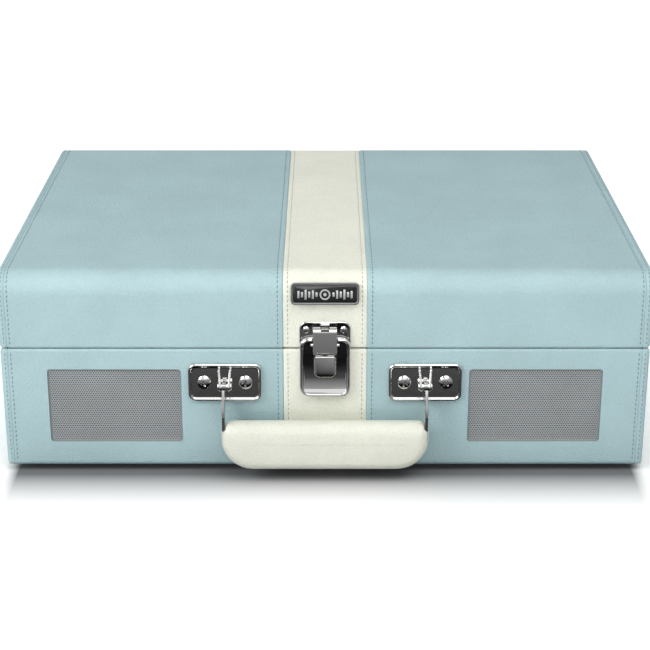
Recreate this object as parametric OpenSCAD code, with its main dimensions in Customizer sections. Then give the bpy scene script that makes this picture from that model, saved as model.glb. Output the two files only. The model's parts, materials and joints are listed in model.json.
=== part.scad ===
// Suitcase record player: a leatherette-covered travel case that opens on rear hinges over a belt-drive deck.
// Millimetres. +Z is up, the front of the case faces -Y, and z = 0 is the floor under the rubber feet.
// The origin is the middle of the whole object's footprint, from the handle's front to the hinge knuckles.

/* [Case] */
// Width of the closed case
case_w = 356; // [352:1:372]
// Depth of the closed case, without handle and hinges
case_d = 255; // [255:1:270]
// Height of the base, from its underside to the seam
base_h = 70.5; // [70:0.5:76]
// Height of the lid, from the seam to its top
lid_h = 43; // [42:0.5:48]
// Radius of the lid's long front edge
lid_front_r = 12; // [10:1:14]
// Thickness of the wall boards
board_t = 6; // [5:0.5:7]
// Thickness of the leatherette
skin_t = 0.8; // [0.6:0.1:1]
// Width of the pale stripe over the middle
stripe_w = 45.6; // [40:0.2:50]
// Height of the rubber feet
foot_h = 3.5; // [3:0.5:6]

/* [Front fittings] */
// Width of a speaker grille
grille_w = 73.6; // [66:0.2:76]
// Height of a speaker grille
grille_h = 43.8; // [38:0.2:46]
// Distance of a grille's middle from the middle of the case
grille_x = 116; // [112:0.5:120]
// Width of a handle bracket
bracket_w = 41; // [38:0.5:44]
// Height of a handle bracket
bracket_h = 22.4; // [20:0.2:24]
// Distance of a bracket's middle from the middle of the case
bracket_x = 55; // [52:0.5:58]
// Height of the handle's grip
grip_h = 28; // [26:0.5:30]
// Width of the latch
latch_w = 28; // [26:0.5:30]

/* [Deck] */
// Radius of the platter
platter_r = 98; // [90:1:100]
// Radius of the record spindle
spindle_r = 3.6; // [3.5:0.02:3.6]
// Distance from the tonearm's pivot to the stylus
arm_l = 180; // [174:1:182]
// Radius of the drive ring under the platter
ring_r = 60; // [55:1:64]
// Radius of the motor's pulley
pulley_r = 5; // [4:0.5:6]
// Radius of the volume knob
knob_r = 11; // [8:0.5:12]

/* [Hidden] */
$fn = 48;

// How far the handle stands out in front and the hinge knuckles stand out behind
front_reach = 18;
back_reach = 6;
// Outer faces of the case
xr = case_w / 2;
yf = front_reach - (case_d + back_reach + front_reach) / 2;
yb = yf + case_d;
ym = (yf + yb) / 2;
z_bottom = foot_h;
seam_gap = 0.3;
z_seam = z_bottom + base_h;
z_base_top = z_seam - seam_gap / 2;
z_lid_low = z_seam + seam_gap / 2;
z_top = z_seam + lid_h;
// Faces of the boards, under the leatherette, and of the space inside them
xo = xr - skin_t;
xi = xo - board_t;
yfo = yf + skin_t;
yfi = yfo + board_t;
ybo = yb - skin_t;
ybi = ybo - board_t;
panel_t = 4;
z_floor = z_bottom + skin_t + panel_t;
z_roof = z_top - skin_t - panel_t;
// The wood behind the lid's rounded front edge
corner_d = lid_front_r + 1;
corner_h = 8;
lining_t = 0.6;
fit = 0.05;
over = 1;

// Speakers and grilles
grille_z = z_bottom + 36.5;
grille_t = 0.8;
grille_corner = 2;
grille_set = 0.9;

// Deck
deck_t = 2.5;
z_deck = z_base_top - 3.35;
z_under = z_deck - deck_t;
deck_gap = 0.3;
batten_w = 6;
batten_h = 12;
// Record spindle and platter
sx = -35;
sy = ym;
z_rim_low = z_deck + 3;
z_platter = z_deck + 9.5;
platter_t = 2.5;
mat_t = 2.4;
z_mat = z_platter + mat_t;
shaft_r = 4;
// Motor pulley, behind and to the left of the spindle
pulley_d = ring_r + 20;
pulley_a = 130;
px = sx + pulley_d * cos(pulley_a);
py = sy + pulley_d * sin(pulley_a);
belt_t = 0.6;
belt_low = z_deck + 3.9;
belt_h = 2.4;
// Tonearm pivot; the parked arm points to the front
ax = 125;
ay = ym + 76;
z_arm = z_mat + 11.5;
tube_r = 4;
z_record = z_mat + 1.6;
rest_d = 128;
lift_d = 45;
lift_a = -20;
// Controls, as distances from the middle of the case
volume_pos = [152, ym - 98];
mode_pos = [152, ym - 62];
speed_pos = [92, ym - 104];
auto_pos = [66, ym - 110];
headphone_pos = [152, ym - 28];
adapter_pos = [-142, ym + 94];
adapter_r = 19;
// Slot lengths and travels of the sliding switches
speed_travel = 16;
auto_travel = 6;

// Rear sockets
plate_x = 95;
plate_z = 38;
plate_w = 74;
plate_h = 26;
well_w = 64;
well_h = 18;
well_d = 7.5;
dc_x = plate_x + 23;
line_x = plate_x + 8;
rca_x = [plate_x - 8, plate_x - 23];
rca_r = 4.15;
dc_r = 2.8;
jack_r = 1.8;

// Hinges
hinge_x = 110;
leaf_w = 36;
leaf_h = 20;
leaf_t = 1.2;
knuckle_r = 2.6;
hinge_y = yb + back_reach - knuckle_r;
hinge_pin_r = 1.2;

// Handle: the pin that it swings on, and the grip that hangs below
handle_y = yf - 5.2;
handle_z = z_bottom + 50.1;
handle_pin_r = 1.25;
strap_t = 1.4;
strap_w = 7;
strap_x = 56.4;
strap_r = 17.5;
grip_low = 7.3;
grip_x = strap_x + 0.7;
grip_top_r = 6;
grip_t = front_reach - 3;
grip_y = yf - front_reach + grip_t / 2;
bracket_z = handle_z + 1.1;
bracket_screw_x = 11.4;

// Latch: the lever's pivot pin, and the claw's pin on the lever
latch_z0 = z_bottom + 43.3;
latch_z1 = z_bottom + 78;
catch_z1 = z_bottom + 86.7;
lever_y = yf - 2.2;
lever_z = z_seam + 3;
lever_face = yf - 8.6;
claw_y = lever_face + 1;
claw_z = lever_z - 2.5;
lever_pin_r = 0.7;
claw_pin_r = 0.5;

module blue() { color([0.68, 0.81, 0.83]) children(); }
module cream() { color([0.90, 0.90, 0.84]) children(); }
module wood() { color([0.72, 0.58, 0.42]) children(); }
module chrome() { color([0.78, 0.79, 0.80]) children(); }
module black() { color([0.10, 0.10, 0.11]) children(); }
module metal() { color([0.62, 0.63, 0.65]) children(); }

// A box from its low corner to its high corner
module span(low, high) { translate(low) cube(high - low); }
// Puts a shape drawn on the XY plane on to the front or back face, with its +Z pointing out
module on_front(x, z) { translate([x, yf, z]) rotate([90, 0, 0]) children(); }
module on_back(x, z) { translate([x, yb, z]) rotate([90, 0, 180]) children(); }
// A rectangle with round corners, made of squares and circles so that its arcs stay true
module round_rect(w, h, r) {
    square([w - 2 * r, h], center = true);
    square([w, h - 2 * r], center = true);
    for (x = [-1, 1], y = [-1, 1]) translate([x * (w / 2 - r), y * (h / 2 - r)]) circle(r);
}
// A pan-head screw with a cross recess; its head rests on z = 0
module screw(head_r, head_h, shaft_r, length) {
    difference() {
        union() {
            cylinder(h = head_h * 0.5, r = head_r);
            translate([0, 0, head_h * 0.5]) cylinder(h = head_h * 0.5, r1 = head_r, r2 = head_r * 0.6);
            translate([0, 0, -length]) cylinder(h = length + head_h * 0.4, r = shaft_r);
        }
        for (a = [0, 90]) rotate([0, 0, a])
            translate([-head_r * 0.5, -head_r * 0.1, head_h * 0.45]) cube([head_r, head_r * 0.2, head_h]);
    }
}

// ---- where the screws go ----
case_screw_r = 1.2;
case_screw_l = 5.5;
module bracket_screw_places() {
    for (side = [-1, 1], x = [-1, 1])
        on_front(side * bracket_x + x * bracket_screw_x, bracket_z) children();
}
module lower_hinge_screw_places() {
    for (side = [-1, 1], x = [-1, 1])
        on_back(side * hinge_x + x * 12, z_seam - 12) children();
}
module upper_hinge_screw_places() {
    for (side = [-1, 1], x = [-1, 1])
        on_back(side * hinge_x + x * 12, z_seam + 12) children();
}
module catch_screw_places() {
    for (x = [-1, 1]) on_front(x * 10.2, z_bottom + 82) children();
}
module deck_screw_places() {
    for (x = [-1, 1], y = [yf + 16, ym, yb - 16]) translate([x * (xi - 3.4), y, z_deck]) children();
}
foot_pos = [xr - 26, case_d / 2 - 26];
module foot_places() {
    for (x = [-1, 1], y = [-1, 1]) translate([x * foot_pos[0], ym + y * foot_pos[1], 0]) children();
}
module screw_hole(r, l) { translate([0, 0, -l]) cylinder(h = l + over, r = r); }

// ---- base ----
module grille_window(d) {
    for (side = [-1, 1]) on_front(side * grille_x, grille_z) translate([0, 0, -d])
        linear_extrude(d + over) round_rect(grille_w, grille_h, grille_corner);
}
module socket_window(w, h) {
    on_back(plate_x, plate_z) translate([0, 0, -20]) linear_extrude(20 + over) square([w, h], center = true);
}
module base_front_board() {
    wood() difference() {
        span([-xo, yfo, z_floor], [xo, yfi, z_base_top - skin_t]);
        grille_window(skin_t + board_t + over);
        bracket_screw_places() screw_hole(case_screw_r + fit, case_screw_l + 0.2);
    }
}
module base_back_board() {
    wood() difference() {
        span([-xo, ybi, z_floor], [xo, ybo, z_base_top - skin_t]);
        socket_window(well_w + 3.2, well_h + 3.2);
        lower_hinge_screw_places() screw_hole(case_screw_r + fit, case_screw_l + 0.2);
    }
}
module base_side_boards() {
    wood() difference() {
        for (side = [0, 1]) mirror([side, 0, 0]) {
            span([xi, yfi, z_floor], [xo, ybi, z_base_top - skin_t]);
            span([xi - batten_w, yfi, z_under - batten_h], [xi + over, ybi, z_under]);
        }
        deck_screw_places() screw_hole(case_screw_r + fit, 9);
    }
}
module base_bottom_board() {
    wood() difference() {
        span([-xo, yfo, z_bottom + skin_t], [xo, ybo, z_floor]);
        foot_places() cylinder(h = z_floor - 0.5, r = 1.5 + fit);
    }
}
module base_outer(inset) {
    span([-xr + inset, yf + inset, z_bottom + inset], [xr - inset, yb - inset, z_base_top - inset]);
}
module base_leather() {
    difference() {
        base_outer(0);
        base_outer(skin_t);
        span([-xi, yfi, z_deck - deck_t], [xi, ybi, z_base_top + over]);
        grille_window(skin_t + over);
        socket_window(well_w + 3.2, well_h + 3.2);
        bracket_screw_places() screw_hole(case_screw_r + fit, skin_t + over);
        lower_hinge_screw_places() screw_hole(case_screw_r + fit, skin_t + over);
        foot_places() cylinder(h = z_floor, r = 1.5 + fit);
    }
}
// The stripe's zone: the front and back faces and the top, but not the underside
module stripe_zone(grow = 0) {
    span([-stripe_w / 2 - grow, yf - over, z_bottom + skin_t], [stripe_w / 2 + grow, yb + over, z_top + over]);
}
module base_leather_blue() { blue() difference() { base_leather(); stripe_zone(); } }
module base_leather_stripe() { cream() intersection() { base_leather(); stripe_zone(); } }
module rubber_feet() {
    black() foot_places() difference() {
        union() {
            cylinder(h = 1, r1 = 9.4, r2 = 10);
            translate([0, 0, 1]) cylinder(h = foot_h - 1, r = 10);
        }
        translate([0, 0, -over]) cylinder(h = over + 1.6, r = 4);
        cylinder(h = foot_h + over, r = 1.5 + fit);
    }
}
module foot_screws() {
    metal() foot_places() translate([0, 0, 1.6]) rotate([180, 0, 0]) screw(3.4, 1.3, 1.5, 5);
}

// ---- speakers ----
module speaker_grilles() {
    metal() for (side = [-1, 1]) on_front(side * grille_x, grille_z) difference() {
        translate([0, 0, -grille_set - 4]) linear_extrude(4)
            round_rect(grille_w - 2 * fit, grille_h - 2 * fit, grille_corner);
        translate([0, 0, -grille_set - 4 - over]) linear_extrude(4 + over - grille_t)
            round_rect(grille_w - 2 * grille_t, grille_h - 2 * grille_t, grille_corner - 0.8);
    }
}
module speaker_shape(w, h) {
    square([w - h, h], center = true);
    for (x = [-1, 1]) translate([x * (w - h) / 2, 0]) circle(h / 2);
}
module on_board_back(side) {
    translate([side * grille_x, yfi, grille_z]) rotate([-90, 0, 0]) children();
}
module speaker_baskets() {
    metal() for (side = [-1, 1]) on_board_back(side) difference() {
        union() {
            linear_extrude(1.4) round_rect(80, 50, 3);
            translate([0, 0, 1.4]) linear_extrude(11) speaker_shape(68, 40);
            translate([0, 0, 12.4]) cylinder(h = 10, r = 16);
        }
        translate([0, 0, -over]) linear_extrude(over + 10.5) speaker_shape(65, 37);
    }
}
module speaker_cones() {
    black() for (side = [-1, 1]) on_board_back(side) difference() {
        union() {
            translate([0, 0, 0.2]) linear_extrude(1.2) speaker_shape(64.4, 36.4);
            translate([0, 0, 1.4]) cylinder(h = 8, r1 = 16, r2 = 8);
        }
        translate([0, 0, -over]) cylinder(h = over + 6, r1 = 15, r2 = 7);
    }
}

// ---- electronics and rear sockets ----
module amp_board() {
    color([0.10, 0.33, 0.20]) {
        for (x = [44, 136], y = [yb - 70, yb - 24]) translate([x, y, z_floor]) cylinder(h = 8, r = 2.4);
        span([38, yb - 76, z_floor + 8], [142, yb - 18, z_floor + 9.6]);
        for (x = [52, 64, 76]) translate([x, yb - 34, z_floor + 9.6]) cylinder(h = 12, r = 4);
        span([90, yb - 60, z_floor + 9.6], [104, yb - 46, z_floor + 11.6]);
        span([114, yb - 66, z_floor + 9.6], [118, yb - 36, z_floor + 26]);
    }
}
module socket_centres(list) { for (x = list) on_back(x, plate_z) children(); }
module socket_plate() {
    black() difference() {
        union() {
            on_back(plate_x, plate_z) linear_extrude(1.2) round_rect(plate_w, plate_h, 3);
            on_back(plate_x, plate_z) translate([0, 0, -well_d - 1.4]) linear_extrude(well_d + 1.5)
                square([well_w + 3, well_h + 3], center = true);
        }
        on_back(plate_x, plate_z) translate([0, 0, -well_d]) linear_extrude(well_d + 1.2 + over)
            round_rect(well_w, well_h, 2);
        socket_centres(rca_x) translate([0, 0, -20]) cylinder(h = 30, r = rca_r - 0.6 + fit);
        socket_centres([dc_x]) translate([0, 0, -20]) cylinder(h = 30, r = 4 + fit);
        socket_centres([line_x]) translate([0, 0, -20]) cylinder(h = 30, r = 3 + fit);
    }
}
module rca_sockets() {
    metal() socket_centres(rca_x) difference() {
        union() {
            translate([0, 0, 0.4 - well_d]) cylinder(h = 8.2, r = rca_r);
            translate([0, 0, -well_d - 1.4]) cylinder(h = 2, r = rca_r - 0.6);
            translate([0, 0, -well_d - 9.4]) cylinder(h = 8, r = 5);
        }
        translate([0, 0, -well_d - 5]) cylinder(h = 30, r = 1.7);
    }
}
module dc_socket() {
    black() socket_centres([dc_x]) difference() {
        union() {
            translate([0, 0, -well_d - 1.4]) cylinder(h = 2.4, r = 4);
            translate([-4.5, -4.5, -well_d - 11.4]) cube([9, 9, 10]);
        }
        translate([0, 0, -well_d - 9]) cylinder(h = 30, r = dc_r);
    }
}
module jack_socket(depth) {
    difference() {
        union() {
            translate([0, 0, -1.4]) cylinder(h = 2.4, r = 3);
            translate([-3.5, -3.5, -depth - 2]) cube([7, 7, depth + 0.6]);
        }
        translate([0, 0, -depth]) cylinder(h = depth + over * 2, r = jack_r);
    }
}
module jack_sockets() {
    black() {
        socket_centres([line_x]) translate([0, 0, -well_d]) jack_socket(13);
        translate([headphone_pos[0], headphone_pos[1], z_under + 1.4]) jack_socket(13);
    }
}

// ---- deck ----
module slot_hole(pos, travel) {
    span([pos[0] - 1.8, pos[1] - 2, z_under - over], [pos[0] + 1.8, pos[1] + travel + 2, z_deck + over]);
}
module deck_plate() {
    cream() difference() {
        union() {
            span([-xi + deck_gap, yfi + deck_gap, z_under], [xi - deck_gap, ybi - deck_gap, z_deck]);
            translate([adapter_pos[0], adapter_pos[1], z_deck - 7]) cylinder(h = 6, r = adapter_r + 2.5);
            for (y = [-70, 10, 90]) span([-120, ym + y, z_under - 5], [-60, ym + y + 2, z_under + over]);
        }
        translate([sx, sy, z_deck - 1]) cylinder(h = 2, r = platter_r + 4);
        translate([sx, sy, z_under - over]) cylinder(h = 10, r = 9 + fit);
        translate([px, py, z_under - over]) cylinder(h = 10, r = pulley_r + 3);
        translate([adapter_pos[0], adapter_pos[1], z_deck - 5]) cylinder(h = 10, r = adapter_r + 0.5);
        translate([ax, ay, z_under - over]) cylinder(h = 10, r = 5 + fit);
        for (p = [volume_pos, mode_pos]) translate([p[0], p[1], z_under - over]) cylinder(h = 10, r = 3.4);
        translate([headphone_pos[0], headphone_pos[1], z_under - over]) cylinder(h = 10, r = 3 + fit);
        slot_hole(speed_pos, speed_travel);
        slot_hole(auto_pos, auto_travel);
        deck_screw_places() screw_hole(case_screw_r + fit, deck_t + over);
    }
}
module deck_screws() { metal() deck_screw_places() screw(2.6, 1.6, case_screw_r, 8); }
module bearing_housing() {
    color([0.75, 0.62, 0.35]) translate([sx, sy, 0]) difference() {
        union() {
            translate([0, 0, z_under - 22]) cylinder(h = z_deck + 3.1 - z_under + 22, r = 9);
            translate([0, 0, z_under - 3]) cylinder(h = 3, r = 17);
        }
        translate([0, 0, z_under - 20]) cylinder(h = 60, r = shaft_r + fit);
    }
}
module spindle() {
    chrome() translate([sx, sy, 0]) {
        translate([0, 0, z_under - 20]) cylinder(h = z_mat - z_under + 20, r = shaft_r);
        translate([0, 0, z_mat]) cylinder(h = 8, r = spindle_r);
        translate([0, 0, z_mat + 8]) cylinder(h = 1.6, r1 = spindle_r, r2 = spindle_r - 1.8);
    }
}
module platter() {
    metal() translate([sx, sy, 0]) difference() {
        rotate_extrude($fn = 96) {
            translate([0, z_platter - platter_t]) square([platter_r, platter_t]);
            translate([platter_r - 3, z_rim_low]) square([3, z_platter - z_rim_low - 0.1]);
            translate([ring_r - 3, z_deck + 3.5]) square([3, z_platter - z_deck - 3.6]);
            translate([0, z_deck + 3.5]) square([10, z_platter - z_deck - 3.6]);
        }
        translate([0, 0, z_deck]) cylinder(h = 20, r = shaft_r + fit);
    }
}
module slip_mat() {
    black() translate([sx, sy, z_platter]) difference() {
        union() {
            cylinder(h = mat_t, r = platter_r - 3, $fn = 96);
        }
        translate([0, 0, -over]) cylinder(h = 10, r = shaft_r + 0.4);
        for (r = [50, 85]) translate([0, 0, mat_t - 0.5]) difference() {
            cylinder(h = 1, r = r + 1, $fn = 96);
            cylinder(h = 1, r = r, $fn = 96);
        }
    }
}
module motor() {
    metal() translate([px, py, 0]) difference() {
        union() {
            translate([0, 0, z_under - 30]) cylinder(h = 26, r = 17);
            translate([0, 0, z_under - 4]) cylinder(h = 4, r = 13);
        }
        translate([0, 0, z_under - 8]) cylinder(h = 20, r = 3);
    }
}
module motor_pulley() {
    color([0.80, 0.68, 0.35]) translate([px, py, 0]) {
        translate([0, 0, z_deck + 3.4]) cylinder(h = 3.2, r = pulley_r);
        translate([0, 0, z_deck + 3.0]) cylinder(h = 0.4, r = pulley_r + 1.2);
        translate([0, 0, z_deck + 6.4]) cylinder(h = 0.4, r = pulley_r + 1.2);
        translate([0, 0, z_under - 7]) cylinder(h = deck_t + 11, r = 1);
    }
}
module belt_outline(grow) {
    hull() {
        circle(ring_r + grow, $fn = 96);
        rotate(pulley_a) translate([pulley_d, 0]) circle(pulley_r + grow, $fn = 32);
    }
}
module drive_belt() {
    black() translate([sx, sy, belt_low]) linear_extrude(belt_h) difference() {
        belt_outline(0.15 + belt_t);
        belt_outline(0.15);
    }
}

// ---- tonearm ----
module arm_base() {
    black() difference() {
        union() {
            translate([ax, ay, z_deck]) cylinder(h = 8, r = 17);
            translate([ax, ay, z_under - 8]) cylinder(h = 12, r = 5);
            translate([ax, ay, z_deck]) rotate([0, 0, -90 - lift_a]) translate([lift_d, 0, 0])
                cylinder(h = 8, r = 4);
            span([ax + 18, ay - 24, z_deck], [ax + 34, ay - 4, z_deck + 3]);
            for (x = [ax + 20, ax + 30]) span([x, ay - 18, z_deck], [x + 2, ay - 8, z_deck + 11]);
            span([ax + 8, ay - 44, z_deck], [ax + 22, ay - 10, z_deck + 3]);
        }
        translate([ax, ay, z_under - 12]) cylinder(h = 40, r = 3 + fit);
        translate([ax, ay, z_deck + over * 1.5]) rotate([0, 0, -90 - lift_a]) translate([lift_d, 0, 0])
            cylinder(h = 20, r = 1.5 + fit);
        translate([ax + 15, ay - 13, z_deck + 8]) rotate([0, 90, 0]) cylinder(h = 20, r = 1 + fit);
    }
}
module arm_yoke() {
    black() translate([ax, ay, 0]) difference() {
        union() {
            translate([0, 0, z_under - 6]) cylinder(h = z_deck - z_under + 15, r = 3);
            translate([0, 0, z_deck + 8.3]) cylinder(h = 4, r = 11);
            for (x = [-1, 1]) translate([x * 8 - 1.5, -5, z_deck + 12]) cube([3, 10, z_arm - z_deck - 8]);
        }
        translate([-20, 0, z_arm]) rotate([0, 90, 0]) cylinder(h = 40, r = 1.5 + fit);
    }
}
module arm_tube() {
    metal() translate([ax, ay, z_arm]) difference() {
        union() {
            rotate([90, 0, 0]) translate([0, 0, -16]) cylinder(h = arm_l - 12, r = tube_r);
            rotate([90, 0, 0]) translate([0, 0, -42]) cylinder(h = 30, r = 2.5);
            rotate([0, 90, 0]) translate([0, 0, -9]) cylinder(h = 18, r = 1.5);
            rotate([0, 90, 0]) translate([0, 0, -5.8]) cylinder(h = 11.6, r = 4.6);
        }
        rotate([90, 0, 0]) translate([0, 0, 8]) cylinder(h = arm_l, r = tube_r - 0.8);
    }
}
module headshell() {
    black() translate([ax, ay, z_arm]) difference() {
        union() {
            span([-8, -arm_l - 7, -2], [8, -arm_l + 24, 3]);
            rotate([90, 0, 0]) translate([0, 0, arm_l - 28]) cylinder(h = 6, r = 5);
            span([8, -arm_l - 6, 0.5], [16, -arm_l - 2, 2]);
        }
        for (x = [-4, 4]) translate([x, -arm_l + 8, -10]) cylinder(h = 20, r = 1);
        rotate([90, 0, 0]) translate([0, 0, 0]) cylinder(h = arm_l - 28 + fit, r = tube_r);
    }
}
module cartridge() {
    color([0.70, 0.12, 0.10]) translate([ax, ay - arm_l, 0]) {
        span([-6, -7, z_record + 2.5], [6, 14, z_arm - 2]);
        translate([0, 0, z_record]) cylinder(h = 3, r1 = 0.3, r2 = 1.2);
    }
}
module counterweight() {
    metal() translate([ax, ay, z_arm]) rotate([90, 0, 0]) difference() {
        translate([0, 0, -38]) cylinder(h = 16, r = 10);
        translate([0, 0, -60]) cylinder(h = 60, r = 2.5 + fit);
    }
}
module arm_rest() {
    y = ay - rest_d;
    black() difference() {
        union() {
            span([ax - 7, y - 6, z_deck], [ax + 12, y + 6, z_deck + 2]);
            span([ax - 5, y - 4, z_deck], [ax + 8.5, y + 4, z_arm - tube_r - 0.2]);
            span([ax + 5, y - 4, z_deck], [ax + 8.5, y + 4, z_arm + 1]);
            for (e = [-4, 2.4]) span([ax + 5, y + e, z_deck], [ax + 11, y + e + 1.6, z_arm + 7]);
        }
        translate([ax + 9, y - 10, z_arm + 5.2]) rotate([-90, 0, 0]) cylinder(h = 20, r = 0.8 + fit);
    }
}
module arm_clip() {
    y = ay - rest_d;
    black() translate([ax + 9, y, z_arm + 5.2]) {
        rotate([-90, 0, 0]) translate([0, 0, -4]) cylinder(h = 8, r = 0.8);
        rotate([0, 15, 0]) span([-1, -2.1, -1], [1, 2.1, 10.5]);
    }
}
module cue_lever() {
    metal() translate([ax, ay - 13, z_deck + 8]) {
        rotate([0, 90, 0]) translate([0, 0, 19.5]) cylinder(h = 13, r = 1);
        rotate([0, 90, 0]) translate([0, 0, 22.4]) cylinder(h = 7.2, r = 2.6);
        span([24.5, -28, -0.8], [27.5, 0, 1.2]);
        span([23.5, -33, -1.2], [28.5, -24, 2.2]);
    }
}
module lift_bar() {
    metal() translate([ax, ay, 0]) {
        translate([0, 0, z_arm - tube_r - 2.2]) rotate([0, 0, -90 - 52])
            rotate_extrude(angle = 52 - lift_a + 6, $fn = 96) translate([lift_d - 1.5, 0]) square([3, 1.9]);
        rotate([0, 0, -90 - lift_a]) translate([lift_d, 0, z_deck + 2]) cylinder(h = z_arm - z_deck - 7.5, r = 1.5);
    }
}

// ---- controls on the deck ----
module knob(pos, r, h) {
    black() translate([pos[0], pos[1], 0]) difference() {
        union() {
            translate([0, 0, z_deck + 0.6]) cylinder(h = 1.6, r = r);
            translate([0, 0, z_deck + 2.2]) cylinder(h = h - 3.2, r1 = r - 0.8, r2 = r - 1.4);
            translate([0, 0, z_deck + h - 1]) cylinder(h = 1, r1 = r - 1.4, r2 = r - 2.2);
            translate([0, 0, z_under - 8]) cylinder(h = 12, r = 3);
        }
        translate([-0.5, r - 4, z_deck + h - 0.8]) cube([1, 4, 2]);
    }
}
module volume_knob() { knob(volume_pos, knob_r, 12); }
module mode_knob() { knob(mode_pos, knob_r - 2, 11); }
module slider(pos) {
    black() {
        span([pos[0] - 1.5, pos[1] - 1.7, z_under - 2], [pos[0] + 1.5, pos[1] + 1.7, z_deck + 1.5]);
        span([pos[0] - 3, pos[1] - 2.2, z_deck + 0.5], [pos[0] + 3, pos[1] + 2.2, z_deck + 4]);
    }
}
module speed_slider() { slider(speed_pos); }
module auto_stop_slider() { slider(auto_pos); }
module adapter_45() {
    metal() translate([adapter_pos[0], adapter_pos[1], z_deck - 4.8]) difference() {
        union() {
            cylinder(h = 4, r = adapter_r);
            translate([0, 0, 4]) cylinder(h = 3, r1 = adapter_r, r2 = adapter_r - 2);
        }
        translate([0, 0, -over]) cylinder(h = 20, r = spindle_r + 0.06);
        translate([0, 0, 5.6]) cylinder(h = 5, r = 12);
    }
}

// ---- hinges ----
module knuckle(x0, x1) {
    translate([x0, hinge_y, z_seam]) rotate([0, 90, 0]) cylinder(h = x1 - x0, r = knuckle_r);
}
module hinge_lower_leaves() {
    metal() difference() {
        for (side = [-1, 1]) translate([side * hinge_x, 0, 0]) {
            span([-leaf_w / 2, yb, z_seam - leaf_h - 2], [leaf_w / 2, yb + leaf_t, z_seam - 2.8]);
            for (s = [-1, 1]) {
                x = s * leaf_w / 3;
                span([x - 5.7, yb, z_seam - 4], [x + 5.7, yb + leaf_t, z_seam]);
                knuckle(x - 5.7, x + 5.7);
            }
        }
        translate([-xr, hinge_y, z_seam]) rotate([0, 90, 0]) cylinder(h = case_w, r = hinge_pin_r + fit);
        lower_hinge_screw_places() screw_hole(case_screw_r + fit, 2);
        lower_hinge_screw_places() cylinder(h = 5, r = case_screw_r + fit);
    }
}
module hinge_upper_leaves() {
    metal() difference() {
        for (side = [-1, 1]) translate([side * hinge_x, 0, 0]) {
            span([-leaf_w / 2, yb, z_seam + 2.8], [leaf_w / 2, yb + leaf_t, z_seam + leaf_h + 2]);
            span([-5.7, yb, z_seam], [5.7, yb + leaf_t, z_seam + 4]);
            knuckle(-5.7, 5.7);
        }
        translate([-xr, hinge_y, z_seam]) rotate([0, 90, 0]) cylinder(h = case_w, r = hinge_pin_r + fit);
        upper_hinge_screw_places() screw_hole(case_screw_r + fit, 2);
        upper_hinge_screw_places() cylinder(h = 5, r = case_screw_r + fit);
    }
}
module hinge_pins() {
    metal() for (side = [-1, 1]) translate([side * hinge_x, hinge_y, z_seam]) rotate([0, 90, 0]) {
        translate([0, 0, -leaf_w / 2]) cylinder(h = leaf_w, r = hinge_pin_r);
        for (e = [-leaf_w / 2 - 0.8, leaf_w / 2]) translate([0, 0, e]) cylinder(h = 0.8, r = 2);
    }
}
module case_screws() {
    chrome() bracket_screw_places() translate([0, 0, 1.6]) screw(3.8, 2, case_screw_r, case_screw_l + 1.6);
    metal() lower_hinge_screw_places() translate([0, 0, leaf_t]) screw(2.8, 1.6, case_screw_r, case_screw_l + leaf_t);
}
module lid_screws() {
    chrome() catch_screw_places() translate([0, 0, 1]) screw(2.1, 1.1, 0.9, 6);
    metal() upper_hinge_screw_places() translate([0, 0, leaf_t]) screw(2.8, 1.6, case_screw_r, case_screw_l + leaf_t);
}

// ---- lid ----
// Side outline of the lid in Y and Z, drawn in so far from its outer faces, with the front top edge rounded
module lid_outline(inset, low) {
    r = lid_front_r - inset;
    y0 = yf + inset;
    z1 = z_top - inset;
    difference() {
        translate([y0, low]) square([yb - inset - y0, z1 - low]);
        translate([y0 - over, z1 - r]) difference() {
            square([r + over, r + over]);
            translate([r + over, 0]) circle(r);
        }
    }
}
module along_x(x0, x1) {
    translate([x0, 0, 0]) rotate([90, 0, 90]) linear_extrude(x1 - x0) children();
}
// The hollow of the lid, with the wood of the rounded edge left in its front top corner
module lid_hollow(inset, low) {
    difference() {
        translate([yfi + inset, low]) square([ybi - yfi - 2 * inset, z_roof - inset - low]);
        translate([yfi - over, z_roof - corner_h - inset])
            square([corner_d - board_t - skin_t + inset + over, corner_h + over * 2]);
    }
}
z_lid_wood = z_lid_low + skin_t;
module lid_front_board() {
    wood() difference() {
        along_x(-xo, xo) intersection() {
            difference() {
                lid_outline(skin_t, z_lid_wood);
                lid_hollow(0, z_lid_wood - over);
            }
            translate([yf, z_lid_wood]) square([corner_d, lid_h]);
        }
        catch_screw_places() screw_hole(0.9 + fit, 5.2);
    }
}
module lid_top_board() {
    wood() span([-xo, yf + corner_d, z_roof], [xo, ybo, z_top - skin_t]);
}
module lid_rim_boards() {
    wood() difference() {
        union() {
            span([-xo, ybi, z_lid_wood], [xo, ybo, z_roof]);
            for (side = [0, 1]) mirror([side, 0, 0]) {
                span([xi, yfi, z_lid_wood], [xo, ybi - 0.1, z_roof - corner_h]);
                span([xi, yf + corner_d, z_lid_wood], [xo, ybi - 0.1, z_roof]);
            }
        }
        upper_hinge_screw_places() screw_hole(case_screw_r + fit, case_screw_l + 0.2);
    }
}
module lid_leather() {
    difference() {
        along_x(-xr, xr) lid_outline(0, z_lid_low);
        along_x(-xo, xo) lid_outline(skin_t, z_lid_wood);
        along_x(-xi, xi) translate([yfi, z_lid_low - over]) square([ybi - yfi, 5]);
        catch_screw_places() screw_hole(0.9 + fit, skin_t + over);
        upper_hinge_screw_places() screw_hole(case_screw_r + fit, skin_t + over);
    }
}
module lid_leather_blue() { blue() difference() { lid_leather(); stripe_zone(); } }
module lid_leather_stripe() { cream() intersection() { lid_leather(); stripe_zone(); } }
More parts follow.
